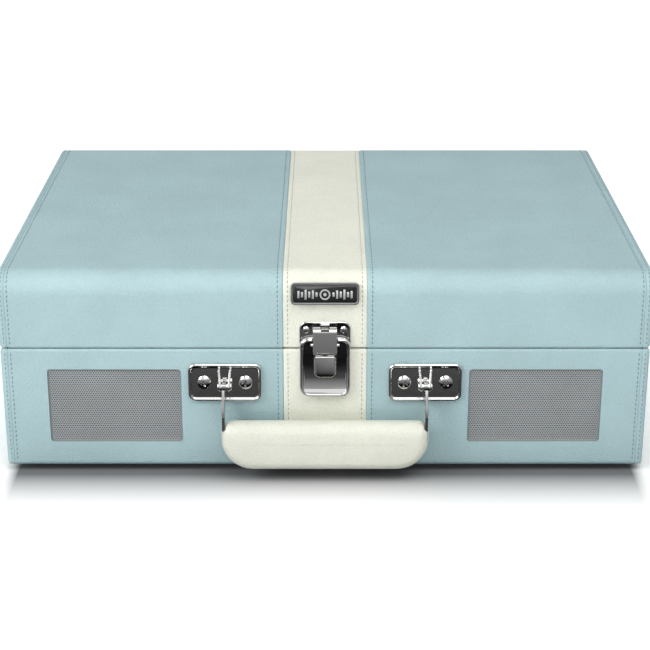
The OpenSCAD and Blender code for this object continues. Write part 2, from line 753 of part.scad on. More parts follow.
module lid_lining() {
    color([0.86, 0.85, 0.80]) difference() {
        along_x(-xi, xi) lid_hollow(0, z_lid_low + skin_t);
        along_x(-xi + lining_t, xi - lining_t) lid_hollow(lining_t, z_lid_low - over);
    }
}
badge_z = z_bottom + 102.6;
module badge() {
    black() translate([0, yf + 0.45, badge_z]) rotate([90 - 12, 0, 0]) difference() {
        translate([0, 0, 0.7]) linear_extrude(1.9) round_rect(37, 12, 2);
        translate([0, 0, 2]) linear_extrude(5) round_rect(34, 9, 1);
    }
}

// ---- latch ----
module latch_pin(y, z, x0, x1, r) {
    translate([x0, y, z]) rotate([0, 90, 0]) cylinder(h = x1 - x0, r = r);
}
// A flat piece in the Y-Z plane, given as points, between two values of x
module slab(x0, x1, points) { along_x(x0, x1) polygon(points); }
module latch_base_plate() {
    h = latch_z1 - latch_z0;
    chrome() difference() {
        union() {
            on_front(0, latch_z0 + h / 2) linear_extrude(3.8) round_rect(latch_w, h, 4.5);
            latch_pin(lever_y, lever_z, -9.6, 9.6, lever_pin_r);
        }
        difference() {
            on_front(0, latch_z0 + h / 2) translate([0, 0, 0.8]) linear_extrude(2.2)
                round_rect(latch_w - 2, h - 2, 3.6);
            latch_pin(lever_y, lever_z, -11, 11, lever_pin_r);
            for (s = [-1, 1]) span([s * 7.9 - 0.6, yf - 3.4, lever_z - 3], [s * 7.9 + 0.6, yf, latch_z1]);
        }
        difference() {
            on_front(0, latch_z0 + h / 2 + 1.6) linear_extrude(10) translate([0, 0, 0.8])
                round_rect(14.4, h - 6.8, 3);
            latch_pin(lever_y, lever_z, -11, 11, lever_pin_r);
            span([-11, yf - 0.8, latch_z0], [11, yf, z_base_top - 0.2]);
        }
        span([-7.2, yf - 10, latch_z1 - 6], [7.2, yf - 2.8, latch_z1 + over]);
        span([-xr, yf - 1.5, z_base_top], [xr, yf + over, latch_z1 + over]);
    }
}
module latch_catch_plate() {
    h = catch_z1 - z_seam - 1;
    chrome() difference() {
        union() {
            on_front(0, catch_z1 - h / 2) linear_extrude(1) round_rect(latch_w, h, 3);
            slab(-5.4, 5.4, [[yf - 0.5, catch_z1 - 8.4], [yf - 6.2, catch_z1 - 6.4], [yf - 6.2, catch_z1 - 3.9],
                [yf - 5.2, catch_z1 - 3.9], [yf - 5.2, catch_z1 - 5.4], [yf - 0.5, catch_z1 - 5.4]]);
        }
        catch_screw_places() translate([0, 0, -1]) cylinder(h = 5, r = 0.9 + fit);
    }
}
module latch_lever() {
    low = claw_z - 14.4;
    high = claw_z - 1.6;
    chrome() difference() {
        union() {
            for (s = [-1, 1]) slab(s * 5.6 - 0.4, s * 5.6 + 0.4, [[lever_y + 0.9, lever_z + 0.7],
                [lever_y - 0.7, lever_z + 0.9], [claw_y + 0.6, claw_z + 0.6], [claw_y - 0.6, claw_z],
                [lever_face + 0.5, high], [lever_face + 0.5, low + 1], [lever_face + 3, low + 1],
                [lever_y + 1, lever_z - 3]]);
            for (s = [-1, 1]) {
                latch_pin(claw_y, claw_z, s * 5.6 - 0.4, s * 5.6 + 0.4, 0.95);
                latch_pin(lever_y, lever_z, s * 5.6 - 0.4, s * 5.6 + 0.4, 1.15);
            }
            span([-6, lever_face, low], [6, lever_face + 1, high]);
            latch_pin(claw_y, claw_z, -5.6, 5.6, claw_pin_r);
        }
        latch_pin(lever_y, lever_z, -10, 10, lever_pin_r + fit);
    }
}
module latch_claw() {
    head = catch_z1 - 3.1;
    chrome() difference() {
        union() {
            latch_pin(claw_y, claw_z, -4.8, 4.8, 1);
            slab(-4.8, 4.8, [[claw_y - 1, claw_z], [claw_y - 1, claw_z + 1.3], [claw_y + 0.2, claw_z + 1.3],
                [claw_y + 0.9, claw_z]]);
            span([-6.6, lever_face, claw_z + 1], [6.6, lever_face + 1, head + 1.3]);
            span([-6.6, lever_face, head], [6.6, yf - 3, head + 1.3]);
            span([-6.6, yf - 4.2, catch_z1 - 4.4], [6.6, yf - 3, head + 1.3]);
        }
        latch_pin(claw_y, claw_z, -10, 10, claw_pin_r + fit);
    }
}

// ---- handle ----
module handle_brackets() {
    chrome() for (side = [-1, 1]) difference() {
        union() {
            on_front(side * bracket_x, bracket_z) difference() {
                linear_extrude(2.4) round_rect(bracket_w, bracket_h, 4.5);
                translate([0, 0, 1.6]) linear_extrude(2) round_rect(bracket_w - 4.4, bracket_h - 4.4, 3);
            }
            for (s = [-1, 1]) translate([side * bracket_x, 0, 0]) {
                x = s * 2.2;
                span([x - 0.6, handle_y - 0.2, handle_z - 2.6], [x + 0.6, yf - 1, handle_z + 8.6]);
                translate([x - 0.6, handle_y, handle_z]) rotate([0, 90, 0]) cylinder(h = 1.2, r = 2.6);
            }
        }
        bracket_screw_places() translate([0, 0, -1]) cylinder(h = 8, r = case_screw_r + fit);
        translate([-xr, handle_y, handle_z]) rotate([0, 90, 0]) cylinder(h = case_w, r = handle_pin_r + fit);
    }
}
module bracket_pins() {
    chrome() for (side = [-1, 1]) translate([side * bracket_x, handle_y, handle_z]) rotate([0, 90, 0]) {
        translate([0, 0, -3.2]) cylinder(h = 6.4, r = handle_pin_r);
        for (e = [-4, 2.9]) translate([0, 0, e]) cylinder(h = 1.1, r = 2);
    }
}
// Front outline of a U with round lower corners, from z_low up to z_high
module u_outline(x, z_low, z_high, r) {
    translate([-x, z_low + r]) square([2 * x, z_high - z_low - r]);
    intersection() {
        union() {
            translate([-x + r, z_low]) square([2 * (x - r), r + over]);
            for (s = [-1, 1]) translate([s * (x - r), z_low + r]) circle(r);
        }
        translate([-x, z_low]) square([2 * x, r + over / 2]);
    }
}
strap_top = grip_low + grip_h + 4;
module strap_band(grow) {
    translate([0, grip_y + strap_w / 2 + grow, 0]) rotate([90, 0, 0])
        linear_extrude(strap_w + 2 * grow) difference() {
            u_outline(strap_x + grow, grip_low + 1.2 - grow, strap_top, strap_r);
            u_outline(strap_x - strap_t - grow, grip_low + 1.2 + strap_t + grow, strap_top + over, strap_r - strap_t);
        }
}
module handle_strap() {
    chrome() union() {
        strap_band(0);
        for (s = [0, 1]) mirror([s, 0, 0]) difference() {
            union() {
                slab(strap_x - strap_t, strap_x, [[grip_y - strap_w / 2, strap_top - 1],
                    [grip_y - strap_w / 2 + 1, strap_top + 5], [handle_y - 2, handle_z - 0.5],
                    [handle_y + 2, handle_z], [handle_y + 1.5, strap_top + 4], [grip_y + strap_w / 2, strap_top - 1]]);
                translate([bracket_x - 0.8, handle_y, handle_z]) rotate([0, 90, 0])
                    cylinder(h = strap_x - bracket_x + 0.8, r = 2.6);
            }
            translate([0, handle_y, handle_z]) rotate([0, 90, 0]) cylinder(h = 80, r = handle_pin_r + 0.07);
        }
    }
}
module grip_outline() {
    top = grip_low + grip_h - grip_top_r;
    u_outline(grip_x, grip_low, top, strap_r);
    translate([-grip_x + grip_top_r, top - over]) square([2 * (grip_x - grip_top_r), grip_top_r + over]);
    for (s = [-1, 1]) translate([s * (grip_x - grip_top_r), top]) circle(grip_top_r);
}
module handle_grip() {
    cream() difference() {
        intersection() {
            translate([0, yf, 0]) rotate([90, 0, 0]) linear_extrude(front_reach + over) grip_outline();
            along_x(-case_w / 2, case_w / 2) translate([grip_y, grip_low + grip_h / 2])
                round_rect(grip_t, grip_h, grip_t / 2 - 1);
        }
        strap_band(fit);
    }
}

base_front_board();
base_back_board();
base_side_boards();
base_bottom_board();
base_leather_blue();
base_leather_stripe();
rubber_feet();
foot_screws();
deck_plate();
deck_screws();
speaker_grilles();
speaker_baskets();
speaker_cones();
amp_board();
socket_plate();
rca_sockets();
dc_socket();
jack_sockets();
motor();
drive_belt();
spindle();
bearing_housing();
arm_base();
arm_rest();
latch_base_plate();
handle_brackets();
bracket_pins();
hinge_lower_leaves();
hinge_pins();
case_screws();
lid_top_board();
lid_front_board();
lid_rim_boards();
lid_leather_blue();
lid_leather_stripe();
lid_lining();
badge();
latch_catch_plate();
lid_screws();
hinge_upper_leaves();
latch_lever();
latch_claw();
handle_strap();
handle_grip();
platter();
slip_mat();
motor_pulley();
arm_yoke();
arm_tube();
headshell();
cartridge();
counterweight();
arm_clip();
cue_lever();
lift_bar();
volume_knob();
mode_knob();
speed_slider();
auto_stop_slider();
adapter_45();
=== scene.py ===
# %% [markdown]
# # A suitcase record player
# The CAD model already has every board, hinge and lever at its right size. This lesson dresses it:
# leatherette with stitched seams over the case, chrome on the fittings, perforated metal over the
# loudspeakers, and a finished deck inside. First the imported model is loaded. It is the fixed frame that
# everything else is built on.

# %% Load the frame
import json
from math import cos, pi, radians, sin, sqrt

import bmesh
import bpy
from mathutils import Matrix, Vector
from mathutils import noise as field


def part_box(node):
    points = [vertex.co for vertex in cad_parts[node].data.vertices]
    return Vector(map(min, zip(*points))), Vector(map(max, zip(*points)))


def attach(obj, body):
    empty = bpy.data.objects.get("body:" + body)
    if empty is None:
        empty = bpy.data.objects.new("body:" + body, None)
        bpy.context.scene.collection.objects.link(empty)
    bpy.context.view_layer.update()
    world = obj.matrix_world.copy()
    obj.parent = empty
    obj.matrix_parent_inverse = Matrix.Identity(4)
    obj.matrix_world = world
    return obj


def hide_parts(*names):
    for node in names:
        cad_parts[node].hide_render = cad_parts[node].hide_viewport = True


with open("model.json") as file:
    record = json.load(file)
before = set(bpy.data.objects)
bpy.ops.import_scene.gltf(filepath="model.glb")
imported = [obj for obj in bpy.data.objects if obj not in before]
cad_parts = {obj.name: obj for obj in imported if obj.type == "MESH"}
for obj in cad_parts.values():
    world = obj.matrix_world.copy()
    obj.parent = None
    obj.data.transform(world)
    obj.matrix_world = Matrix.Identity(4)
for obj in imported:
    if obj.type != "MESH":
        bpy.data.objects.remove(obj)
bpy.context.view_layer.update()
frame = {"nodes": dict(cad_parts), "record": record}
nodes = frame["nodes"]
MM = 0.001

# %% [markdown]
# Places come from the frame. The outer faces of the base and the lid are read from the coverings' boxes,
# and the fittings are measured from those faces. A few places, such as the latch's pins, are written out
# as they are in the CAD. Lengths in this lesson are in metres, written as millimetres times MM, because
# that is how a maker reads them.

# %% Measure the case
base_low, base_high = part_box("base_leather_blue")
lid_low, lid_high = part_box("lid_leather_blue")
stripe_low, stripe_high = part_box("lid_leather_stripe")
side_x = base_high.x
front_y = base_low.y
back_y = base_high.y
stripe_x = stripe_high.x
skin = 0.8 * MM
board = 6 * MM
print("case", round(2 * side_x / MM), "x", round((back_y - front_y) / MM), "mm")
print("seam at", round(base_high.z / MM, 2), "mm")

# %% [markdown]
# ## Making meshes
# Nearly every piece on this case is a stack of rings: an outline that is repeated along a line while it
# grows, shrinks or moves a little. One helper turns such a stack into a closed mesh, so a rounded box, a
# pressed plate, a turned screw head and a stitch are all made the same way.

# %% Rings to mesh
def new_piece(name, points, faces):
    mesh = bpy.data.meshes.new(name)
    mesh.from_pydata([tuple(p) for p in points], [], faces)
    piece = bpy.data.objects.new(name, mesh)
    bpy.context.scene.collection.objects.link(piece)
    tidy_normals(piece)
    return piece


def tidy_normals(piece):
    work = bmesh.new()
    work.from_mesh(piece.data)
    bmesh.ops.recalc_face_normals(work, faces=work.faces)
    work.to_mesh(piece.data)
    work.free()


def ring_faces(rings, first=0, loop=False):
    """Faces between rings whose points are numbered from first. The ends are closed, or joined with loop."""
    count = len(rings[0])
    faces = []
    for level in range(len(rings) if loop else len(rings) - 1):
        low = first + level * count
        high = first + (level + 1) % len(rings) * count
        for i in range(count):
            j = (i + 1) % count
            faces.append((low + i, low + j, high + j, high + i))
    if not loop:
        faces.append(tuple(first + i for i in range(count)))
        faces.append(tuple(first + (len(rings) - 1) * count + i for i in range(count)))
    return faces


def stack(name, rings, loop=False):
    """A closed mesh of rings. With loop, the last ring joins the first, as in a frame."""
    points = [p for ring in rings for p in ring]
    return new_piece(name, points, ring_faces(rings, loop=loop))


def piece_from(work, name):
    """Turns a working mesh into a piece of the scene."""
    mesh = bpy.data.meshes.new(name)
    work.to_mesh(mesh)
    work.free()
    piece = bpy.data.objects.new(name, mesh)
    bpy.context.scene.collection.objects.link(piece)
    return piece


# %% [markdown]
# Real edges are never perfectly sharp, and a render looks false when they are. The bevel modifier rounds
# each hard edge by a small width, and the mesh is shaded smooth, so light runs over the edge as it does
# on metal and moulded plastic.

# %% Soft edges
def shade_smooth(piece, sharp=40):
    for face in piece.data.polygons:
        face.use_smooth = True
    work = bmesh.new()
    work.from_mesh(piece.data)
    for edge in work.edges:
        edge.smooth = len(edge.link_faces) != 2 or edge.calc_face_angle(0) < radians(sharp)
    work.to_mesh(piece.data)
    work.free()


def soften(piece, width, segments=2, sharp=32):
    bevel = piece.modifiers.new("soft_edges", "BEVEL")
    bevel.width = width
    bevel.segments = segments
    bevel.limit_method = "ANGLE"
    bevel.angle_limit = radians(sharp)
    bevel.harden_normals = False
    for face in piece.data.polygons:
        face.use_smooth = True
    normals = piece.modifiers.new("even_shading", "WEIGHTED_NORMAL")
    normals.keep_sharp = True


def settle(piece):
    """Applies a piece's modifiers to its mesh."""
    view = bpy.context.evaluated_depsgraph_get()
    finished = bpy.data.meshes.new_from_object(piece.evaluated_get(view))
    piece.modifiers.clear()
    piece.data = finished


large_face = 0.0008  # eight square centimetres, in square metres


def soften_cover(piece, width):
    """Rounds a covering's folded edges. Its large flat faces stay flat, so no shading runs across them."""
    soften(piece, width)
    piece.modifiers.remove(piece.modifiers["even_shading"])
    settle(piece)
    shade_smooth(piece, 35)
    for face in piece.data.polygons:
        face.use_smooth = face.area < large_face


def cut_away(piece, cutter):
    tool = piece.modifiers.new("cut", "BOOLEAN")
    tool.operation = "DIFFERENCE"
    tool.solver = "EXACT"
    tool.object = cutter
    settle(piece)
    bpy.data.objects.remove(cutter)


def block(name, low, high):
    x0, y0, z0 = low
    x1, y1, z1 = high
    rings = [[(x0, y0, z), (x1, y0, z), (x1, y1, z), (x0, y1, z)] for z in (z0, z1)]
    return stack(name, rings)


# %% [markdown]
# Each piece is dressed the same way: it takes a material, rides on the body that it moves with, and hides
# the plain CAD piece that it replaces.

# %% Dress a piece
made = []


def dress(piece, body, slot, material, *replaced):
    piece.data.materials.clear()
    piece.data.materials.append(material)
    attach(piece, body)
    if replaced:
        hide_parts(*replaced)
    made.append(piece.name)
    return piece


# %% [markdown]
# ## Materials
# Every finish is a small tree of nodes. The texture coordinates are the object's own, so the grain is
# fixed to the piece and moves with it, and their unit is the metre: a scale of 1500 gives grains two
# thirds of a millimetre across.

# %% Node helpers
def new_finish(name, color, roughness, metallic=0.0):
    material = bpy.data.materials.new(name)
    material.use_nodes = True
    tree = material.node_tree
    shader = tree.nodes["Principled BSDF"]
    shader.inputs["Base Color"].default_value = (*color, 1)
    shader.inputs["Roughness"].default_value = roughness
    shader.inputs["Metallic"].default_value = metallic
    return material, tree, shader


def place_of(tree):
    return tree.nodes.new("ShaderNodeTexCoord").outputs["Object"]


def noise(tree, scale, detail=3.0, rough=0.55):
    node = tree.nodes.new("ShaderNodeTexNoise")
    node.inputs["Scale"].default_value = scale
    node.inputs["Detail"].default_value = detail
    node.inputs["Roughness"].default_value = rough
    tree.links.new(place_of(tree), node.inputs["Vector"])
    return node.outputs["Fac"]


def cells(tree, scale):
    node = tree.nodes.new("ShaderNodeTexVoronoi")
    node.feature = "SMOOTH_F1"
    node.inputs["Scale"].default_value = scale
    node.inputs["Smoothness"].default_value = 0.25
    tree.links.new(place_of(tree), node.inputs["Vector"])
    return node.outputs["Distance"]


def spread(tree, value, low, high, start=0.3, stop=0.7):
    """Maps a texture's value from start..stop to low..high."""
    node = tree.nodes.new("ShaderNodeMapRange")
    node.inputs["From Min"].default_value = start
    node.inputs["From Max"].default_value = stop
    node.inputs["To Min"].default_value = low
    node.inputs["To Max"].default_value = high
    tree.links.new(value, node.inputs["Value"])
    return node.outputs["Result"]


def shade_between(tree, factor, dark, light):
    node = tree.nodes.new("ShaderNodeMix")
    node.data_type = "RGBA"
    node.inputs[6].default_value = (*dark, 1)
    node.inputs[7].default_value = (*light, 1)
    tree.links.new(factor, node.inputs["Factor"])
    return node.outputs[2]


def add_up(tree, a, b, operation="ADD"):
    node = tree.nodes.new("ShaderNodeMath")
    node.operation = operation
    tree.links.new(a, node.inputs[0])
    if isinstance(b, (int, float)):
        node.inputs[1].default_value = b
    else:
        tree.links.new(b, node.inputs[1])
    return node.outputs[0]


def relief(tree, shader, height, depth, strength=1.0):
    node = tree.nodes.new("ShaderNodeBump")
    node.inputs["Strength"].default_value = strength
    node.inputs["Distance"].default_value = depth
    tree.links.new(height, node.inputs["Height"])
    tree.links.new(node.outputs["Normal"], shader.inputs["Normal"])


def tint(color, amount):
    return tuple(min(1.0, c * amount) for c in color)


# %% [markdown]
# ** Leatherette** is a printed plastic film on cloth. Its grain is small rounded pebbles with fine creases
# between them, its colour wanders a little from place to place, and the tops of the pebbles are smoother
# than the creases. Voronoi cells give the pebbles, a fine noise the creases, and a slow noise the
# wandering colour. The same cells paint the creases a little darker, as painted shade.

# %% Leatherette
def leatherette(name, color):
    material, tree, shader = new_finish(name, color, 0.5)
    pebbles = cells(tree, 950)
    creases = noise(tree, 2600, 2)
    patches = noise(tree, 28, 4)
    mottle = spread(tree, patches, 0.0, 1.0, 0.35, 0.65)
    tone = shade_between(tree, mottle, tint(color, 0.965), tint(color, 1.03))
    # Painted shade: the creases between the pebbles are painted a little darker.
    crease_shade = tree.nodes.new("ShaderNodeMix")
    crease_shade.data_type = "RGBA"
    crease_shade.blend_type = "MULTIPLY"
    tree.links.new(spread(tree, pebbles, 0.0, 0.5, 0.25, 0.8), crease_shade.inputs["Factor"])
    tree.links.new(tone, crease_shade.inputs[6])
    crease_shade.inputs[7].default_value = (0.87, 0.88, 0.89, 1)
    tree.links.new(crease_shade.outputs[2], shader.inputs["Base Color"])
    tree.links.new(spread(tree, pebbles, 0.38, 0.56, 0.1, 0.7), shader.inputs["Roughness"])
    shader.inputs["Specular IOR Level"].default_value = 0.5
    height = add_up(tree, add_up(tree, pebbles, -0.7, "MULTIPLY"), add_up(tree, creases, 0.5, "MULTIPLY"))
    relief(tree, shader, height, 0.00034, 1.0)
    return material


blue_leather = leatherette("blue_leatherette", (0.362, 0.508, 0.533))
cream_leather = leatherette("cream_leatherette", (0.755, 0.765, 0.662))
grip_leather = leatherette("grip_leatherette", (0.672, 0.684, 0.592))
print("leatherette ready")


# %% [markdown]
# **Thread** is twisted polyester. At this size the twist is only a slanted shading across each stitch,
# which a wave texture gives.

# %% Thread
def thread(name, color):
    material, tree, shader = new_finish(name, color, 0.6)
    wave = tree.nodes.new("ShaderNodeTexWave")
    wave.inputs["Scale"].default_value = 900
    wave.bands_direction = "DIAGONAL"
    tree.links.new(place_of(tree), wave.inputs["Vector"])
    tone = shade_between(tree, wave.outputs["Fac"], tint(color, 0.8), color)
    tree.links.new(tone, shader.inputs["Base Color"])
    relief(tree, shader, wave.outputs["Fac"], 0.00005)
    return material


blue_thread = thread("blue_thread", (0.115, 0.215, 0.262))
cream_thread = thread("cream_thread", (0.40, 0.42, 0.37))


# %% [markdown]
# **Plated metal** is nearly a mirror, so what makes it look real is what breaks the mirror: faint
# polishing marks, and a slow waviness that bends reflections. Plastics and paints use the same helper
# with more roughness and little or no metal.

# %% Metals, plastics and paint
def surface(name, color, roughness, metallic=0.0, grain=900, depth=0.00002, wander=0.06, specular=0.5):
    material, tree, shader = new_finish(name, color, roughness, metallic)
    shader.inputs["Specular IOR Level"].default_value = specular
    marks = noise(tree, grain, 3)
    haze = noise(tree, 55, 3)
    tree.links.new(spread(tree, haze, roughness - wander / 2, roughness + wander),
                   shader.inputs["Roughness"])
    tone = shade_between(tree, haze, tint(color, 0.94), tint(color, 1.04))
    tree.links.new(tone, shader.inputs["Base Color"])
    relief(tree, shader, marks, depth, 0.5)
    return material


def stretched_noise(tree, scale, detail):
    """A noise whose marks are longest along the axis with the smallest scale."""
    stretch = tree.nodes.new("ShaderNodeMapping")
    stretch.inputs["Scale"].default_value = scale
    tree.links.new(place_of(tree), stretch.inputs["Vector"])
    node = tree.nodes.new("ShaderNodeTexNoise")
    node.inputs["Scale"].default_value = 1.0
    node.inputs["Detail"].default_value = detail
    tree.links.new(stretch.outputs["Vector"], node.inputs["Vector"])
    return node.outputs["Fac"]


def brushed(name, color, roughness, axis_scale):
    """Metal with fine lines along one direction, made by a noise that is stretched along it."""
    material, tree, shader = new_finish(name, color, roughness, 1.0)
    lines = stretched_noise(tree, axis_scale, 4)
    tree.links.new(spread(tree, lines, roughness - 0.06, roughness + 0.1), shader.inputs["Roughness"])
    tone = shade_between(tree, lines, tint(color, 0.86), tint(color, 1.05))
    tree.links.new(tone, shader.inputs["Base Color"])
    relief(tree, shader, lines, 0.00003, 0.5)
    return material


chrome = surface("chrome_plate", (0.80, 0.80, 0.79), 0.07, 1.0, 240, 0.00003, 0.05)
strap_steel = surface("strap_steel", (0.42, 0.42, 0.41), 0.24, 1.0, 500, 0.00003, 0.1)
nickel = surface("nickel_plate", (0.66, 0.64, 0.60), 0.2, 1.0, 700, 0.00002, 0.1)
zinc = surface("zinc_plate", (0.60, 0.61, 0.62), 0.3, 1.0, 900, 0.00003, 0.1)
pressed_steel = surface("pressed_steel", (0.36, 0.37, 0.38), 0.4, 1.0, 500, 0.00003, 0.1)
black_steel = surface("black_steel", (0.05, 0.05, 0.052), 0.5, 0.3, 500, 0.00003, 0.1)
turned_brass = brushed("turned_brass", (0.74, 0.56, 0.26), 0.25, (60, 60, 3000))
aluminium = brushed("satin_aluminium", (0.72, 0.73, 0.74), 0.28, (2500, 60, 2500))
grille_paint = surface("silver_paint", (0.55, 0.58, 0.595), 0.42, 0.45, 1500, 0.00002, 0.1)
# A darker copy of the silver paint for the grille frame: painted shade along the recessed edge.
shaded_grille_paint = surface("shaded_grille_paint", (0.36, 0.385, 0.395), 0.42, 0.45, 1500, 0.00002, 0.1)
deck_plastic = surface("deck_plastic", (0.80, 0.80, 0.735), 0.55, 0.0, 2200, 0.00004, 0.08, 0.4)
black_plastic = surface("black_plastic", (0.022, 0.022, 0.024), 0.42, 0.0, 1800, 0.00004, 0.1)
gloss_black = surface("gloss_black", (0.012, 0.013, 0.014), 0.12, 0.0, 300, 0.00001, 0.06)
rubber = surface("black_rubber", (0.022, 0.022, 0.023), 0.75, 0.0, 1500, 0.00006, 0.1, 0.3)
platter_paint = surface("platter_paint", (0.030, 0.031, 0.034), 0.38, 0.0, 1200, 0.00003, 0.1)
red_plastic = surface("red_plastic", (0.52, 0.018, 0.016), 0.2, 0.0, 600, 0.00001, 0.06)
circuit_green = surface("circuit_green", (0.02, 0.15, 0.07), 0.35, 0.0, 900, 0.00003, 0.1)
cone_paper = surface("cone_paper", (0.03, 0.03, 0.03), 0.8, 0.0, 1300, 0.00012, 0.1, 0.2)
silver_print = surface("silver_print", (0.62, 0.63, 0.63), 0.3, 0.6, 900, 0.00001, 0.08)
grey_frame = surface("grey_frame", (0.20, 0.205, 0.205), 0.3, 0.6, 700, 0.00002, 0.1)
dark_print = surface("dark_print", (0.10, 0.11, 0.12), 0.5, 0.0, 900, 0.00001, 0.06)


# %% [markdown]
# **Fibreboard, flock and felt** are all made of fibres. The board shows short brown fibres, so its noise
# is stretched. Flock and felt take a soft sheen, because their fibre ends catch light that comes from the
# side.

# %% Fibres
def fibres(name, dark, light, sheen, scale=(500, 500, 1400), depth=0.00012):
    material, tree, shader = new_finish(name, light, 0.9)
    strands = stretched_noise(tree, scale, 5)
    factor = spread(tree, strands, 0.0, 1.0)
    tree.links.new(shade_between(tree, factor, dark, light), shader.inputs["Base Color"])
    shader.inputs["Sheen Weight"].default_value = sheen
    shader.inputs["Sheen Roughness"].default_value = 0.5
    shader.inputs["Specular IOR Level"].default_value = 0.2
    relief(tree, shader, strands, depth)
    return material


fibreboard = fibres("fibreboard", (0.30, 0.20, 0.12), (0.47, 0.34, 0.22), 0.0)
flock = fibres("flock_lining", (0.62, 0.61, 0.54), (0.76, 0.75, 0.67), 0.3, (1800, 1800, 1800), 0.0001)
felt = fibres("black_felt", (0.018, 0.018, 0.020), (0.050, 0.050, 0.054), 0.35, (1600, 1600, 1600), 0.00015)
print(len(bpy.data.materials), "materials")

# %% [markdown]
# ## The covering
# The case is covered in three panels: blue at each side, and a cream stripe over the middle. Seen from
# the side, each panel has one outline, with a different radius at each corner: the lid's long front edge
# is rounded by 12 mm, and the edges at the seam by little more than the covering's own bend. The panel is
# that outline repeated across the case. Where the covering is sewn, the outline draws in by a tenth of a
# millimetre, and at the seams it draws in further, which makes the grooves as real geometry.

# %% Side outline
def bend(cy, cz, radius, start, stop, steps):
    turns = [radians(start + (stop - start) * k / steps) for k in range(steps + 1)]
    return [(cy + radius * cos(a), cz + radius * sin(a)) for a in turns]


def side_outline(z0, z1, corner_radii, inset):
    """Points (y, z) round the case's side: front low, front top, back top, back low."""
    corners = [(front_y, z0, 1, 1, 270, 180), (front_y, z1, 1, -1, 180, 90),
               (back_y, z1, -1, -1, 90, 0), (back_y, z0, -1, 1, 0, -90)]
    outline = []
    for (y, z, dy, dz, start, stop), corner in zip(corners, corner_radii):
        radius = max(corner - inset, 0.02 * MM)
        middle = inset + radius
        steps = 5 + round(corner / MM)
        outline += bend(y + dy * middle, z + dz * middle, radius, start, stop, steps)
    return outline


lid_radii = (1.6 * MM, 12 * MM, 3 * MM, 1.6 * MM)
base_radii = (2.6 * MM, 1.6 * MM, 1.6 * MM, 2.6 * MM)
edge_radius = 2.6 * MM
edge_seam = 4.3 * MM
edge_stitches = (2.6 * MM, 5.9 * MM)
stripe_stitch = 2.5 * MM
blue_stitch = 3.0 * MM
stitch_dip = 0.10 * MM


# %% Drawing-in along the case
def blue_stations():
    """(x, inset) pairs of a blue panel, from the outer side to the stripe."""
    stations = []
    for k in range(8):
        a = radians(90 * k / 7)
        stations.append((side_x - edge_radius * (1 - cos(a)), edge_radius * (1 - sin(a))))
    seam_x = side_x - edge_seam
    for offset, inset in ((0.75, 0.0), (0.35, 0.08), (0.1, 0.34), (-0.1, 0.34), (-0.35, 0.08),
                          (-0.75, 0.0)):
        stations.append((seam_x + offset * MM, inset * MM))
    stations += sewn_line(side_x - edge_stitches[1])
    stations += sewn_line(stripe_x + blue_stitch)
    for offset, inset in ((0.9, 0.0), (0.5, 0.04), (0.25, 0.14), (0.08, 0.34), (0.0, 0.6)):
        stations.append((stripe_x + offset * MM, inset * MM))
    return stations


def sewn_line(x):
    return [(x + 0.8 * MM, 0), (x + 0.3 * MM, 0.7 * stitch_dip), (x, stitch_dip),
            (x - 0.3 * MM, 0.7 * stitch_dip), (x - 0.8 * MM, 0)]


def stripe_stations():
    half = [(stripe_x, 0.6 * MM), (stripe_x - 0.1 * MM, 0.36 * MM), (stripe_x - 0.5 * MM, 0.24 * MM)]
    half += [(x, inset + 0.2 * MM) for x, inset in sewn_line(stripe_x - stripe_stitch)]
    return half + [(-x, inset) for x, inset in reversed(half)]


def panel(name, stations, side, z0, z1, corner_radii):
    rings = []
    for x, inset in stations:
        rings.append([(side * x, y, z) for y, z in side_outline(z0, z1, corner_radii, inset)])
    return stack(name, rings)


# %% [markdown]
# The panels start as solid blocks. What the boards and the hollow take up is then cut away with boolean
# modifiers, which leaves a skin 0.8 mm thick that turns in over the rim. The same cuts open the windows
# for the grilles and the rear sockets. A last small bevel rounds the folded edges.

# %% Base covering
deck_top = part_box("deck_plate")[1].z
inner_x = side_x - skin - board
inner_front = front_y + skin + board
inner_back = back_y - skin - board
turn_in = 0.25 * MM


def hollow_base(piece, grilles=(), sockets=False):
    over = 5 * MM
    low = deck_top - 1.5 * MM
    cut_away(piece, block("c", (-side_x + skin, front_y + skin, base_low.z + skin),
                          (side_x - skin, back_y - skin, low)))
    for x0, x1, y0, y1 in ((-side_x + skin, -inner_x, front_y + skin, back_y - skin),
                           (inner_x, side_x - skin, front_y + skin, back_y - skin),
                           (-inner_x, inner_x, front_y + skin, inner_front),
                           (-inner_x, inner_x, inner_back, back_y - skin)):
        cut_away(piece, block("c", (x0, y0, low - over), (x1, y1, base_high.z - skin)))
    cut_away(piece, block("c", (-inner_x + turn_in, inner_front + turn_in, low - over),
                          (inner_x - turn_in, inner_back - turn_in, base_high.z + over)))
    for low_corner, high_corner in grilles:
        cut_away(piece, window(low_corner, high_corner, 2.0 * MM, front_y - over, front_y + over))
    if sockets:
        low_corner, high_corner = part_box("socket_plate")
        shrink = Vector((3, 0, 3)) * MM
        opening = window(low_corner + shrink, high_corner - shrink, 1.0 * MM, back_y - over, back_y + over)
        cut_away(piece, opening)


def round_outline(width, height, radius, steps=6):
    points = []
    for sx, sz, start in ((1, 1, 0), (-1, 1, 90), (-1, -1, 180), (1, -1, 270)):
        cx = sx * (width / 2 - radius)
        cz = sz * (height / 2 - radius)
        points += bend(cx, cz, radius, start, start + 90, steps)
    return points


def window(low, high, radius, y0, y1):
    middle = (low + high) / 2
    outline = round_outline(high.x - low.x, high.z - low.z, radius)
    return stack("w", [[(middle.x + u, y, middle.z + v) for u, v in outline] for y in (y0, y1)])


